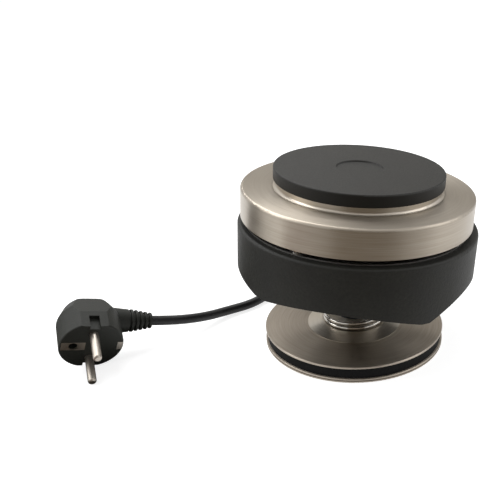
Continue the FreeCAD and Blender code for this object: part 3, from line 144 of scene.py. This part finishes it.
def moulded(name, colour, worn, grain_mm, depth_mm, roughness, ior=1.5, specular=0.5, cloud_mm=14.0):
    """Moulded or pressed surface: even colour that drifts a little, with a fine all-over grain."""
    material, tree, output = new_material(name)
    place = add(tree, "ShaderNodeTexCoord").outputs["Object"]
    grain = add(tree, "ShaderNodeTexNoise", {
        "Vector": place, "Scale": 1 / (grain_mm * MM), "Detail": 2.0}).outputs["Fac"]
    cloud = add(tree, "ShaderNodeTexNoise", {
        "Vector": place, "Scale": 1 / (cloud_mm * MM), "Detail": 3.0}).outputs["Fac"]
    share = add(tree, "ShaderNodeMath", {0: grain, 1: cloud}, operation="MULTIPLY")
    tint = add(tree, "ShaderNodeMix", {
        "Factor": share.outputs[0], "A": linear(colour), "B": linear(worn)}, data_type="RGBA")
    gloss = add(tree, "ShaderNodeMapRange", {
        "Value": cloud, "To Min": roughness - MOULDED_DRIFT, "To Max": roughness + MOULDED_DRIFT})
    bump = add(tree, "ShaderNodeBump", {"Height": grain, "Distance": depth_mm * MM})
    shader = add(tree, "ShaderNodeBsdfPrincipled", {
        "Base Color": tint.outputs["Result"], "Roughness": gloss.outputs[0], "Normal": bump.outputs[0],
        "IOR": ior, "Specular IOR Level": specular})
    tree.links.new(shader.outputs[0], output.inputs["Surface"])
    return material


def worked_metal(name, colour, shade, line_mm, depth_mm, roughness, anisotropy=0.0, lean=0.0, around=True):
    """Turned, brushed or drawn metal: fine streaks round the upright axis, or an even tooth."""
    material, tree, output = new_material(name)
    place = add(tree, "ShaderNodeTexCoord").outputs["Object"]
    # A leaning piece is turned back about the ball joint, so that its own axis is the upright one.
    place = add(tree, "ShaderNodeVectorRotate", {
        "Vector": place, "Center": PIVOT, "Axis": (0, 1, 0), "Angle": -lean}).outputs[0]
    if around:
        # The way round is shrunk to a circle two streaks in radius, so a streak changes slowly on its way.
        circle = 2.0 * line_mm * MM
        parts = add(tree, "ShaderNodeSeparateXYZ", {0: place}).outputs
        flat = add(tree, "ShaderNodeCombineXYZ", {"X": parts["X"], "Y": parts["Y"]}).outputs[0]
        radius = add(tree, "ShaderNodeVectorMath", {0: flat}, operation="LENGTH").outputs["Value"]
        across = add(tree, "ShaderNodeMath", {0: radius, 1: parts["Z"]}, operation="SUBTRACT").outputs[0]
        heading = add(tree, "ShaderNodeVectorMath", {0: flat}, operation="NORMALIZE").outputs[0]
        slow = add(tree, "ShaderNodeVectorMath", {0: heading, "Scale": circle}, operation="SCALE").outputs[0]
        lift = add(tree, "ShaderNodeCombineXYZ", {"Z": across}).outputs[0]
        place = add(tree, "ShaderNodeVectorMath", {0: slow, 1: lift}).outputs[0]
    streak = add(tree, "ShaderNodeTexNoise", {
        "Vector": place, "Scale": 1 / (line_mm * MM), "Detail": 3.0}).outputs["Fac"]
    tint = add(tree, "ShaderNodeMix", {
        "Factor": streak, "A": linear(shade), "B": linear(colour)}, data_type="RGBA")
    gloss = add(tree, "ShaderNodeMapRange", {
        "Value": streak, "To Min": roughness * (1 - METAL_DRIFT), "To Max": roughness * (1 + METAL_DRIFT)})
    bump = add(tree, "ShaderNodeBump", {"Height": streak, "Distance": depth_mm * MM})
    round_axis = add(tree, "ShaderNodeTangent", direction_type="RADIAL", axis="Z")
    shader = add(tree, "ShaderNodeBsdfPrincipled", {
        "Base Color": tint.outputs["Result"], "Metallic": 1.0, "Roughness": gloss.outputs[0],
        "Normal": bump.outputs[0], "Anisotropic": anisotropy, "Anisotropic Rotation": ACROSS_STREAKS,
        "Tangent": round_axis.outputs[0]})
    tree.links.new(shader.outputs[0], output.inputs["Surface"])
    return material


def banded_sleeve(name, ground, band, band_mm):
    """Earth wire's silicone sleeve: two colours in slanting bands."""
    material, tree, output = new_material(name)
    place = add(tree, "ShaderNodeTexCoord").outputs["Object"]
    wave = add(tree, "ShaderNodeTexWave", {
        "Vector": place, "Scale": BAND_WAVE / (band_mm * MM), "Distortion": 0.4}, bands_direction="DIAGONAL")
    stripe = add(tree, "ShaderNodeMath", {0: wave.outputs["Fac"], 1: 0.55}, operation="GREATER_THAN")
    tint = add(tree, "ShaderNodeMix", {
        "Factor": stripe.outputs[0], "A": linear(ground), "B": linear(band)}, data_type="RGBA")
    shader = add(tree, "ShaderNodeBsdfPrincipled", {
        "Base Color": tint.outputs["Result"], "Roughness": 0.5, "IOR": 1.41})
    tree.links.new(shader.outputs[0], output.inputs["Surface"])
    return material


def cast_plate(name, colour, shade, specular, grain_mm=0.9, cloud_mm=22.0, ring_mm=1.6, depth_mm=0.05):
    """Cast iron with a baked heat-proof coat: grey-black, matt, fine sandy tooth over faint turning rings."""
    material, tree, output = new_material(name)
    place = add(tree, "ShaderNodeTexCoord").outputs["Object"]
    place = add(tree, "ShaderNodeVectorRotate", {
        "Vector": place, "Center": PIVOT, "Axis": (0, 1, 0), "Angle": -HEAD_LEAN}).outputs[0]
    grain = add(tree, "ShaderNodeTexNoise", {
        "Vector": place, "Scale": 1 / (grain_mm * MM), "Detail": 3.0}).outputs["Fac"]
    cloud = add(tree, "ShaderNodeTexNoise", {
        "Vector": place, "Scale": 1 / (cloud_mm * MM), "Detail": 4.0}).outputs["Fac"]
    # One ring for each ring_mm of radius, as a lathe's feed leaves them, a quarter as deep as the grain.
    rings = add(tree, "ShaderNodeTexWave", {
        "Vector": place, "Scale": RING_WAVE / (ring_mm * MM), "Distortion": 0.3},
        wave_type="RINGS", rings_direction="Z")
    faint = add(tree, "ShaderNodeMath", {0: rings.outputs["Fac"], 1: 0.25, 2: grain},
                operation="MULTIPLY_ADD")
    tint = add(tree, "ShaderNodeMix", {
        "Factor": cloud, "A": linear(shade), "B": linear(colour)}, data_type="RGBA")
    bump = add(tree, "ShaderNodeBump", {"Height": faint.outputs[0], "Distance": depth_mm * MM})
    gloss = add(tree, "ShaderNodeMapRange", {"Value": grain, "To Min": 0.5, "To Max": 0.64})
    shader = add(tree, "ShaderNodeBsdfPrincipled", {
        "Base Color": tint.outputs["Result"], "Roughness": gloss.outputs[0], "Normal": bump.outputs[0],
        "IOR": 1.5, "Specular IOR Level": specular})
    tree.links.new(shader.outputs[0], output.inputs["Surface"])
    return material


def paint(material, *names):
    """Give CAD nodes their finish."""
    for name in names:
        node = NODES[name]
        if not node.material_slots:
            node.data.materials.append(material)
        for slot in node.material_slots:
            slot.material = material


def mesh_of(context, line):
    """Mesh that a curve object makes."""
    context.view_layer.update()
    return bpy.data.meshes.new_from_object(line.evaluated_get(context.evaluated_depsgraph_get()))


def bare_line(context, name, places, resolution):
    """Curve object of one smooth line led by places in metres, with no thickness."""
    curve = bpy.data.curves.new(name, "CURVE")
    curve.dimensions = "3D"
    spline = curve.splines.new("NURBS")
    spline.points.add(len(places) - 1)
    for point, place in zip(spline.points, places):
        point.co = (*place, 1.0)
    spline.order_u = 3
    spline.use_endpoint_u = True
    spline.resolution_u = resolution
    line = bpy.data.objects.new(name, curve)
    context.scene.collection.objects.link(line)
    return line


def round_wire(context, name, line, diameter, facets, material):
    """Make a line into a smooth round wire with closed ends, and remove the line."""
    curve = line.data
    curve.bevel_depth = diameter / 2
    curve.bevel_resolution = facets
    curve.use_fill_caps = True
    mesh = mesh_of(context, line)
    bpy.data.objects.remove(line)
    bpy.data.curves.remove(curve)
    mesh.shade_smooth()
    mesh.materials.append(material)
    piece = bpy.data.objects.new(name, mesh)
    context.scene.collection.objects.link(piece)
    return piece


class BurnerCord(bpy.types.PropertyGroup):
    """Sizes and colour of the mains cord."""
    diameter: FloatProperty(
        name="Cord diameter", description="Outside of the cord's jacket", default=0.006, unit="LENGTH")
    length: FloatProperty(
        name="Cord length", description="From the gland to the plug's boot", default=1.5, unit="LENGTH")
    coil_radius: FloatProperty(
        name="Coil radius", description="Middle of the outermost turn", default=0.042, unit="LENGTH")
    coil_turns: FloatProperty(
        name="Coil turns", description="Turns of spare cord in both layers", default=5.5)
    colour: StringProperty(
        name="Jacket colour", description="sRGB hex", default="#0C0C0D")
    still_below: FloatProperty(
        name="Still below", description="Height under which the cord stays put", default=0.02, unit="LENGTH")
    follows_above: FloatProperty(
        name="Follows above", description="Height over which it goes with the collar", default=0.06,
        unit="LENGTH")


class BurnerSpring(bpy.types.PropertyGroup):
    """Sizes of the neck spring."""
    wire: FloatProperty(
        name="Wire", description="Diameter of the spring wire", default=0.0022, unit="LENGTH")
    outer: FloatProperty(
        name="Outside", description="Diameter over the turns", default=0.039, unit="LENGTH")
    bottom: FloatProperty(
        name="Bottom", description="Height of the spring's seat", default=0.0128, unit="LENGTH")
    top: FloatProperty(
        name="Top", description="Height of the collar's flange", default=0.0395, unit="LENGTH")
    turns: FloatProperty(
        name="Turns", description="Turns from end to end", default=5.25)
    first: FloatProperty(
        name="First end", description="Where the wire starts round the neck", default=math.radians(165),
        subtype="ANGLE")
    ease: FloatProperty(
        name="End ease", description="Share by which the pitch falls at both ends", default=0.59,
        subtype="FACTOR")
    travel: FloatProperty(
        name="Travel", description="How far the head presses down", default=0.008, unit="LENGTH")


class BurnerFinish(bpy.types.PropertyGroup):
    """Colours of the visible finishes, as sRGB hex."""
    steel: StringProperty(
        name="Steel", description="Satin stainless steel, light streaks", default="#B6ADA1")
    steel_shade: StringProperty(
        name="Steel shade", description="Satin stainless steel, dark streaks", default="#8D8377")
    cap: StringProperty(
        name="Cap", description="Turned stainless steel, light streaks", default="#AFA79B")
    cap_shade: StringProperty(
        name="Cap shade", description="Turned stainless steel, dark streaks", default="#8E8579")
    plastic: StringProperty(
        name="Housing", description="Black heat-proof plastic", default="#11110F")
    plate: StringProperty(
        name="Plate", description="Coated cast plate", default="#181712")
    plug: StringProperty(
        name="Plug", description="Moulded plug", default="#20211E")


class BurnerStudio(bpy.types.PropertyGroup):
    """Studio light, and the colours of the cards that the steel mirrors."""
    key: FloatProperty(
        name="Left box", description="Power of the left soft box in watts", default=7.2, unit="POWER")
    fill: FloatProperty(
        name="Right box", description="Power of the right soft box in watts", default=3.2, unit="POWER")
    back: FloatProperty(
        name="Back box", description="Power of the soft box behind in watts", default=6.5, unit="POWER")
    world: FloatProperty(
        name="Room", description="Strength of the room's diffuse light", default=0.45)
    card: StringProperty(
        name="Front cards", description="sRGB hex of the card and the wall in front", default="#9A8F82")
    band: StringProperty(
        name="Brown strip", description="sRGB hex of the strip front left", default="#6B431F")
    side: StringProperty(
        name="Left cards", description="sRGB hex of the strip and the wall on the left", default="#48443E")
    wall: StringProperty(
        name="Back wall", description="sRGB hex of the wall behind", default="#D8D3CB")


class BURNER_OT_lay_cord(bpy.types.Operator):
    """Lay the mains cord: down from the gland, round the tied coil, and along the table to the plug"""
    bl_idname = "burner.lay_cord"
    bl_label = "Lay cord"

    def execute(self, context):
        cord = context.scene.burner_cord
        route = [Vector(point) * MM for point in [*CORD_LEAD, *self.coil(cord), *CORD_FREE]]
        line = bare_line(context, "mains_cord_line", route, resolution=6)
        bare = mesh_of(context, line)
        bpy.data.meshes.remove(bare)
        # Flexible PVC drawn through a die: black, softly shining, its pebble drawn coarser than life to show.
        jacket = moulded("flexible_pvc_jacket", cord.colour, "#1B1B1C", grain_mm=1.2, depth_mm=0.02,
                         roughness=0.45, ior=1.53, specular=0.32)
        piece = round_wire(context, "mains_cord", line, cord.diameter, facets=6, material=jacket)
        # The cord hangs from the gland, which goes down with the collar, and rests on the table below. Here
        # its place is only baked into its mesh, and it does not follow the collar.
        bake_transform(piece)
        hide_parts("cord_lead", "cord_coil", "cord_free")
        return {"FINISHED"}

    def coil(self, cord):
        """Points of the coil in millimetres: inward in the upper layer, then outward in the lower one."""
        half = math.pi * cord.coil_turns
        full = math.hypot(half, COIL_TURNOVER)
        points = []
        for index in range(int(COIL_POINTS * cord.coil_turns) + 1):
            angle = 2 * math.pi * index / COIL_POINTS
            inward = angle - half
            wound = full - math.hypot(inward, COIL_TURNOVER)
            radius = cord.coil_radius / MM - COIL_STEP * wound / (2 * math.pi)
            # The line touches the middles of the sides between its points, so the points lie outside it.
            radius /= math.cos(math.pi / COIL_POINTS)
            climb = max(-1.0, min(1.0, inward / (math.pi / 2)))
            rise = COIL_RISE * (1 - math.sin(climb * math.pi / 2)) / 2
            points.append(COIL_MIDDLE + Vector((radius * math.cos(angle), radius * math.sin(angle), rise)))
        return points


class BURNER_OT_wind_spring(bpy.types.Operator):
    """Wind the bright neck spring between its seat and the ball collar"""
    bl_idname = "burner.wind_spring"
    bl_label = "Wind spring"

    def execute(self, context):
        spring = context.scene.burner_spring
        count = int(SPRING_POINTS * spring.turns)
        radius = (spring.outer - spring.wire) / 2
        rise = spring.top - spring.bottom - spring.wire
        places = []
        for index in range(count + 1):
            angle = spring.first + 2 * math.pi * index / SPRING_POINTS
            share = index / count - spring.ease * math.sin(2 * math.pi * index / count) / (2 * math.pi)
            height = spring.bottom + spring.wire / 2 + rise * share
            places.append((radius * math.cos(angle), radius * math.sin(angle), height))
        line = bare_line(context, "neck_spring_line", places, resolution=3)
        # Spring wire with a bright nickel plate: a clear mirror broken by a faint tooth.
        plated = worked_metal("bright_plated_spring_wire", "#D2CFC9", "#B4B0AA", line_mm=1.0, depth_mm=0.004,
                              roughness=0.13, around=False)
        piece = round_wire(context, "neck_spring", line, spring.wire, facets=5, material=plated)
        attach(piece, "base")
        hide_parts("head_spring")
        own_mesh(piece)
        return {"FINISHED"}


class BURNER_OT_finish_base(bpy.types.Operator):
    """Finish the base discs and the spring's seat, and the pieces of rubber and ground steel"""
    bl_idname = "burner.finish_base"
    bl_label = "Finish base"

    def execute(self, context):
        finish = context.scene.burner_finish
        # Stainless sheet with a satin face: a soft mirror with fine rings, drawn coarser than life to show.
        satin = worked_metal("satin_stainless_disc", finish.steel, finish.steel_shade, line_mm=0.9,
                             depth_mm=0.002, roughness=0.42, anisotropy=0.8)
        paint(satin, "foot_disc", "flange_disc")
        # Spun stainless seat: a clearer mirror than the discs round it. Its paler colour is a painted sheen
        # that brightens the halo round the spring's foot.
        seat_sheen_finish = worked_metal("stainless_seat_painted_sheen", "#CDC6BB", "#B8B1A6", line_mm=0.9, depth_mm=0.001,
                              roughness=0.32, anisotropy=0.5)
        paint(seat_sheen_finish, "spring_seat")
        # Pressed rubber with a sandy tooth: deep black that hardly shines.
        rubber = moulded("pressed_black_rubber", "#030303", "#0C0C0B", grain_mm=0.9, depth_mm=0.25,
                         roughness=0.9, ior=1.52, specular=0.25)
        paint(rubber, "clamp_ring", "cord_gland")
        # Ground and plated steel: a bright, slightly streaked mirror.
        bright = worked_metal("bright_ground_steel", "#C9C6C1", "#ABA8A3", line_mm=0.7, depth_mm=0.002,
                              roughness=0.16)
        paint(bright, "guide_stud", "guide_collar", "cap_pillars")
        return {"FINISHED"}


class BURNER_OT_finish_head(bpy.types.Operator):
    """Finish the black housing and the moulded pieces in and under it"""
    bl_idname = "burner.finish_head"
    bl_label = "Finish housing"

    def execute(self, context):
        finish = context.scene.burner_finish
        # Heat-proof moulding with a spark-eroded grain, drawn coarser than life to show: soft, broad sheen.
        grained = moulded("grained_heatproof_plastic", finish.plastic, "#2E2E27", grain_mm=1.3, depth_mm=0.14,
                          roughness=0.58, specular=0.3)
        paint(grained, "housing", "bottom_cover", "socket_ring", "cord_clamp")
        return {"FINISHED"}


class BURNER_OT_finish_cap(bpy.types.Operator):
    """Finish the steel cap, its spill ring and the sheet steel inside"""
    bl_idname = "burner.finish_cap"
    bl_label = "Finish cap"

    def execute(self, context):
        finish = context.scene.burner_finish
        # Spun stainless brushed on the lathe: fine rings and a streaked highlight, drawn coarser than life.
        brushed = worked_metal("turned_brushed_stainless", finish.cap, finish.cap_shade, line_mm=0.8,
                               depth_mm=0.002, roughness=0.38, anisotropy=0.8, lean=HEAD_LEAN)
        paint(brushed, "cap")
        # Polished stainless ring: a little brighter and clearer than the brushed cap round it.
        polished = worked_metal("polished_stainless_ring", "#BDB5A9", "#A59D91", line_mm=0.8, depth_mm=0.001,
                                roughness=0.34, anisotropy=0.5, lean=HEAD_LEAN)
        paint(polished, "spill_ring")
        # Plain rolled stainless: greyer and darker than the brushed cap.
        rolled = worked_metal("rolled_stainless_sheet", "#9C9A97", "#7E7C79", line_mm=1.4, depth_mm=0.003,
                              roughness=0.38, around=False)
        paint(rolled, "heat_shield", "plate_cover")
        return {"FINISHED"}


class BURNER_OT_finish_plate(bpy.types.Operator):
    """Finish the hot plate and the heating parts under it"""
    bl_idname = "burner.finish_plate"
    bl_label = "Finish plate"

    def execute(self, context):
        finish = context.scene.burner_finish
        paint(cast_plate("coated_cast_iron", finish.plate, "#0E0D09", specular=0.3), "hot_plate")
        # Steel sheath coloured by heat: brown to blue-grey clouds on a dull metal.
        sheath = worked_metal("heat_coloured_sheath", "#7A6A5C", "#4C4E57", line_mm=6.0, depth_mm=0.004,
                              roughness=0.42, around=False)
        paint(sheath, "heating_element")
        # Mica board: pale gold flakes that catch the light unevenly.
        mica = moulded("pressed_mica_board", "#B79E74", "#D8C9A4", grain_mm=2.2, depth_mm=0.03, roughness=0.4,
                       ior=1.58)
        paint(mica, "insulation_disc")
        return {"FINISHED"}


class BURNER_OT_finish_fasteners(bpy.types.Operator):
    """Finish the screws, nuts, washers and the plate's clamp"""
    bl_idname = "burner.finish_fasteners"
    bl_label = "Finish fasteners"

    def execute(self, context):
        # Zinc plate: pale blue-grey metal, slightly mottled.
        zinc = worked_metal("zinc_plated_steel", "#B4B9BE", "#8F959B", line_mm=1.8, depth_mm=0.004,
                            roughness=0.34, around=False)
        paint(zinc, "base_washer", "base_nut", "stop_washer", "stop_nut", "clamp_stud", "clamp_bar",
              "clamp_spacer", "clamp_washer", "clamp_nut", "cover_screws", "socket_screws", "pillar_screws",
              "clamp_screws")
        # Turned brass: warm yellow metal with a faint tooth from the tool.
        brass = worked_metal("turned_brass", "#C9A659", "#A5843F", line_mm=0.6, depth_mm=0.003,
                             roughness=0.27, around=False)
        paint(brass, "earth_screw", "terminal_screws")
        return {"FINISHED"}


class BURNER_OT_finish_electrics(bpy.types.Operator):
    """Finish the terminal block, limiter, fuse, bush and inner wiring"""
    bl_idname = "burner.finish_electrics"
    bl_label = "Finish electrics"

    def execute(self, context):
        # Unglazed steatite: chalky white with a faint tooth.
        steatite = moulded("unglazed_steatite", "#E4DED0", "#CFC7B6", grain_mm=0.8, depth_mm=0.03,
                           roughness=0.6, ior=1.6)
        paint(steatite, "terminal_block", "wire_bush", "thermal_fuse")
        # Pressed phenolic: dark brown with a dull polish.
        phenolic = moulded("pressed_phenolic", "#3A2418", "#51362A", grain_mm=1.2, depth_mm=0.02,
                           roughness=0.4, ior=1.6)
        paint(phenolic, "temperature_limiter")
        # Silicone sleeves: waxy colour with little shine.
        for name, colour, worn, wires in (
                ("brown_silicone_sleeve", "#5A3520", "#6E4630", ("live_wire", "fuse_wire", "link_wire")),
                ("blue_silicone_sleeve", "#23488F", "#355CA6", ("neutral_wire",))):
            sleeve = moulded(name, colour, worn, grain_mm=1.0, depth_mm=0.02, roughness=0.55, ior=1.41)
            paint(sleeve, *wires)
        paint(banded_sleeve("banded_silicone_sleeve", "#3E7A2C", "#D9C22E", band_mm=3.0), "earth_wire")
        # The cord's end inside the housing has the jacket that the cord was laid with.
        paint(bpy.data.materials["flexible_pvc_jacket"], "inner_cord")
        return {"FINISHED"}


class BURNER_OT_finish_plug(bpy.types.Operator):
    """Finish the plug, its pins and earth contacts, and the strap on the coil"""
    bl_idname = "burner.finish_plug"
    bl_label = "Finish plug"

    def execute(self, context):
        finish = context.scene.burner_finish
        # Plug PVC with a matt eroded grain: dark grey, a little paler in patches.
        grained = moulded("grained_plug_pvc", finish.plug, "#2D2F28", grain_mm=1.1, depth_mm=0.08,
                          roughness=0.52, ior=1.53, specular=0.22)
        paint(grained, "plug_body")
        # Nickel on brass, dulled by use: a warm, soft mirror with an even tooth.
        nickel = worked_metal("nickel_plated_brass", "#BDB6AC", "#9A938A", line_mm=0.8, depth_mm=0.003,
                              roughness=0.4, around=False)
        paint(nickel, "plug_pins", "earth_socket", "earth_clip")
        # Nylon strap: black with a ribbed weave, drawn as an even tooth.
        nylon = moulded("woven_nylon_strap", "#131314", "#303032", grain_mm=0.7, depth_mm=0.15, roughness=0.7,
                        ior=1.53)
        paint(nylon, "coil_tie")
        return {"FINISHED"}


class BURNER_OT_set_stage(bpy.types.Operator):
    """Set the camera, the pale floor, the cards, the soft boxes and the white room"""
    bl_idname = "burner.set_stage"
    bl_label = "Set stage"

    def execute(self, context):
        scene = context.scene
        studio = scene.burner_studio
        self.place_camera(scene)
        floor = self.panel(scene, "pale_floor", (0.0, 0.0, FLOOR_HEIGHT), (0.0, 0.0, 0.0), FLOOR_SIDE,
                           FLOOR_SIDE)
        floor.data.materials.append(self.paper())
        self.hang_cards(scene, studio)
        self.hang_lamps(scene, studio)
        scene.world = self.room(studio)
        scene.view_settings.view_transform = "Standard"
        return {"FINISHED"}

    def place_camera(self, scene):
        """Camera that sees the burner as the photo does."""
        lens = bpy.data.cameras.new("front_camera")
        lens.sensor_fit = "HORIZONTAL"
        lens.sensor_width = CAMERA_SENSOR
        lens.lens = CAMERA_LENS
        lens.shift_x = CAMERA_SHIFT
        lens.clip_start = CAMERA_NEAREST
        camera = bpy.data.objects.new("front_camera", lens)
        camera.location = CAMERA_PLACE
        camera.rotation_euler = (math.radians(90 - CAMERA_DIP), 0.0, 0.0)
        scene.collection.objects.link(camera)
        scene.camera = camera

    def hang_cards(self, scene, studio):
        """Cards that only reflections see: they give the steel its dark, brown and grey bands."""
        flat = (0.0, 0.0, 0.0)
        standing = (math.radians(90), 0.0, 0.0)
        standing_left = (math.radians(90), 0.0, math.radians(74))
        brown_turn = (0.0, 0.0, math.radians(-60))
        grey_turn = (0.0, 0.0, math.radians(-116))
        # Name, middle, turn, width, depth and colour of each card, in metres.
        for name, place, turn, width, depth, colour in (
                ("front_card", (0.075, -0.59, 0.0004), flat, 0.85, 0.92, studio.card),
                ("front_wall", (0.2, -1.05, 0.5), standing, 1.3, 1.0, studio.card),
                ("left_wall", (-0.61, 0.17, 0.3), standing_left, 0.16, 0.6, studio.side),
                ("brown_strip", (-0.244, -0.183, 0.0006), brown_turn, 0.115, 0.27, studio.band),
                ("grey_strip", (-0.27, 0.065, 0.0004), grey_turn, 0.15, 0.34, studio.side),
                ("back_wall", (0.1, 0.9, 0.25), standing, 1.3, 0.5, studio.wall)):
            card = self.panel(scene, name, place, turn, width, depth)
            # Matt coloured paper: one even colour with no shine.
            material, tree, output = new_material(name + "_paper")
            matt = add(tree, "ShaderNodeBsdfDiffuse", {"Color": linear(colour)})
            tree.links.new(matt.outputs[0], output.inputs["Surface"])
            card.data.materials.append(material)
            card.visible_camera = False
            card.visible_diffuse = False
            card.visible_shadow = False

    def hang_lamps(self, scene, studio):
        """Soft boxes on the left, on the right and behind."""
        # Name, watts, side in metres and place of each box.
        for name, power, size, place in (
                ("left_box", studio.key, 0.8, (-0.95, 0.05, 0.75)),
                ("right_box", studio.fill, 0.8, (0.95, 0.1, 0.7)),
                ("back_box", studio.back, 0.7, (-0.33, 0.55, 1.0))):
            lamp = bpy.data.lights.new(name, "AREA")
            lamp.energy = power
            lamp.size = size
            box = bpy.data.objects.new(name, lamp)
            box.location = place
            box.rotation_euler = (LAMP_AIM - Vector(place)).to_track_quat("-Z", "Y").to_euler()
            scene.collection.objects.link(box)

    def room(self, studio):
        """World that is white where it is seen and lights the burner more softly."""
        world = bpy.data.worlds.new("white_room")
        world.use_nodes = True
        tree = world.node_tree
        tree.nodes.clear()
        strength = add(tree, "ShaderNodeMapRange", {
            "Value": self.seen(tree), "To Min": studio.world, "To Max": 1.0})
        light = add(tree, "ShaderNodeBackground", {
            "Color": linear("#FFFFFF"), "Strength": strength.outputs[0]})
        add(tree, "ShaderNodeOutputWorld", {"Surface": light.outputs[0]})
        return world

    def panel(self, scene, name, place, turn, width, depth):
        """Flat sheet of the stage."""
        mesh = bpy.data.meshes.new(name)
        corners = [(-width / 2, -depth / 2, 0), (width / 2, -depth / 2, 0), (width / 2, depth / 2, 0),
                   (-width / 2, depth / 2, 0)]
        mesh.from_pydata(corners, [], [(0, 1, 2, 3)])
        piece = bpy.data.objects.new(name, mesh)
        piece.location = place
        piece.rotation_euler = turn
        scene.collection.objects.link(piece)
        return piece

    def seen(self, tree):
        """1 for rays from the camera and from gloss and glass, 0 for the rest."""
        rays = add(tree, "ShaderNodeLightPath").outputs
        first = add(tree, "ShaderNodeMath", {0: rays["Is Camera Ray"], 1: rays["Is Glossy Ray"]},
                    operation="MAXIMUM")
        return add(tree, "ShaderNodeMath", {0: first.outputs[0], 1: rays["Is Transmission Ray"]},
                   operation="MAXIMUM").outputs[0]

    def paper(self):
        """Matt white paper, lifted to white where it is seen, that still takes the object's shadow."""
        material, tree, output = new_material("matt_white_paper")
        matt = add(tree, "ShaderNodeBsdfDiffuse", {"Color": linear("#C4C4C4")})
        lift = add(tree, "ShaderNodeMath", {0: self.seen(tree), 1: PAPER_GLOW}, operation="MULTIPLY")
        glow = add(tree, "ShaderNodeEmission", {"Color": linear("#FFFFFF"), "Strength": lift.outputs[0]})
        both = add(tree, "ShaderNodeAddShader", {0: matt.outputs[0], 1: glow.outputs[0]})
        tree.links.new(both.outputs[0], output.inputs["Surface"])
        return material


class BURNER_PT_panel(bpy.types.Panel):
    """Sizes, colours and making steps of the burner"""
    bl_idname = "BURNER_PT_panel"
    bl_label = "Hot plate burner"
    bl_space_type = "VIEW_3D"
    bl_region_type = "UI"
    bl_category = "Burner"

    def draw(self, context):
        for group in GROUPS:
            settings = getattr(context.scene, group)
            box = self.layout.box()
            for name in settings.bl_rna.properties.keys():
                if name not in ("rna_type", "name"):
                    box.prop(settings, name)
        for step in STEPS:
            self.layout.operator(step.bl_idname)


GROUPS = {"burner_cord": BurnerCord, "burner_spring": BurnerSpring, "burner_finish": BurnerFinish,
          "burner_studio": BurnerStudio}
# The cord is laid before the electrics are finished, because its inner end takes the same jacket.
STEPS = (BURNER_OT_set_stage, BURNER_OT_lay_cord, BURNER_OT_wind_spring, BURNER_OT_finish_base,
         BURNER_OT_finish_head, BURNER_OT_finish_cap, BURNER_OT_finish_plate, BURNER_OT_finish_fasteners,
         BURNER_OT_finish_electrics, BURNER_OT_finish_plug)


def register():
    for name, group in GROUPS.items():
        bpy.utils.register_class(group)
        setattr(bpy.types.Scene, name, PointerProperty(type=group))
    for step in STEPS:
        bpy.utils.register_class(step)
    bpy.utils.register_class(BURNER_PT_panel)


def unregister():
    bpy.utils.unregister_class(BURNER_PT_panel)
    for step in reversed(STEPS):
        bpy.utils.unregister_class(step)
    for name, group in GROUPS.items():
        delattr(bpy.types.Scene, name)
        bpy.utils.unregister_class(group)


def main():
    register()
    for step in STEPS:
        area, action = step.bl_idname.split(".")
        getattr(getattr(bpy.ops, area), action)()


if __name__ == "__main__":
    main()
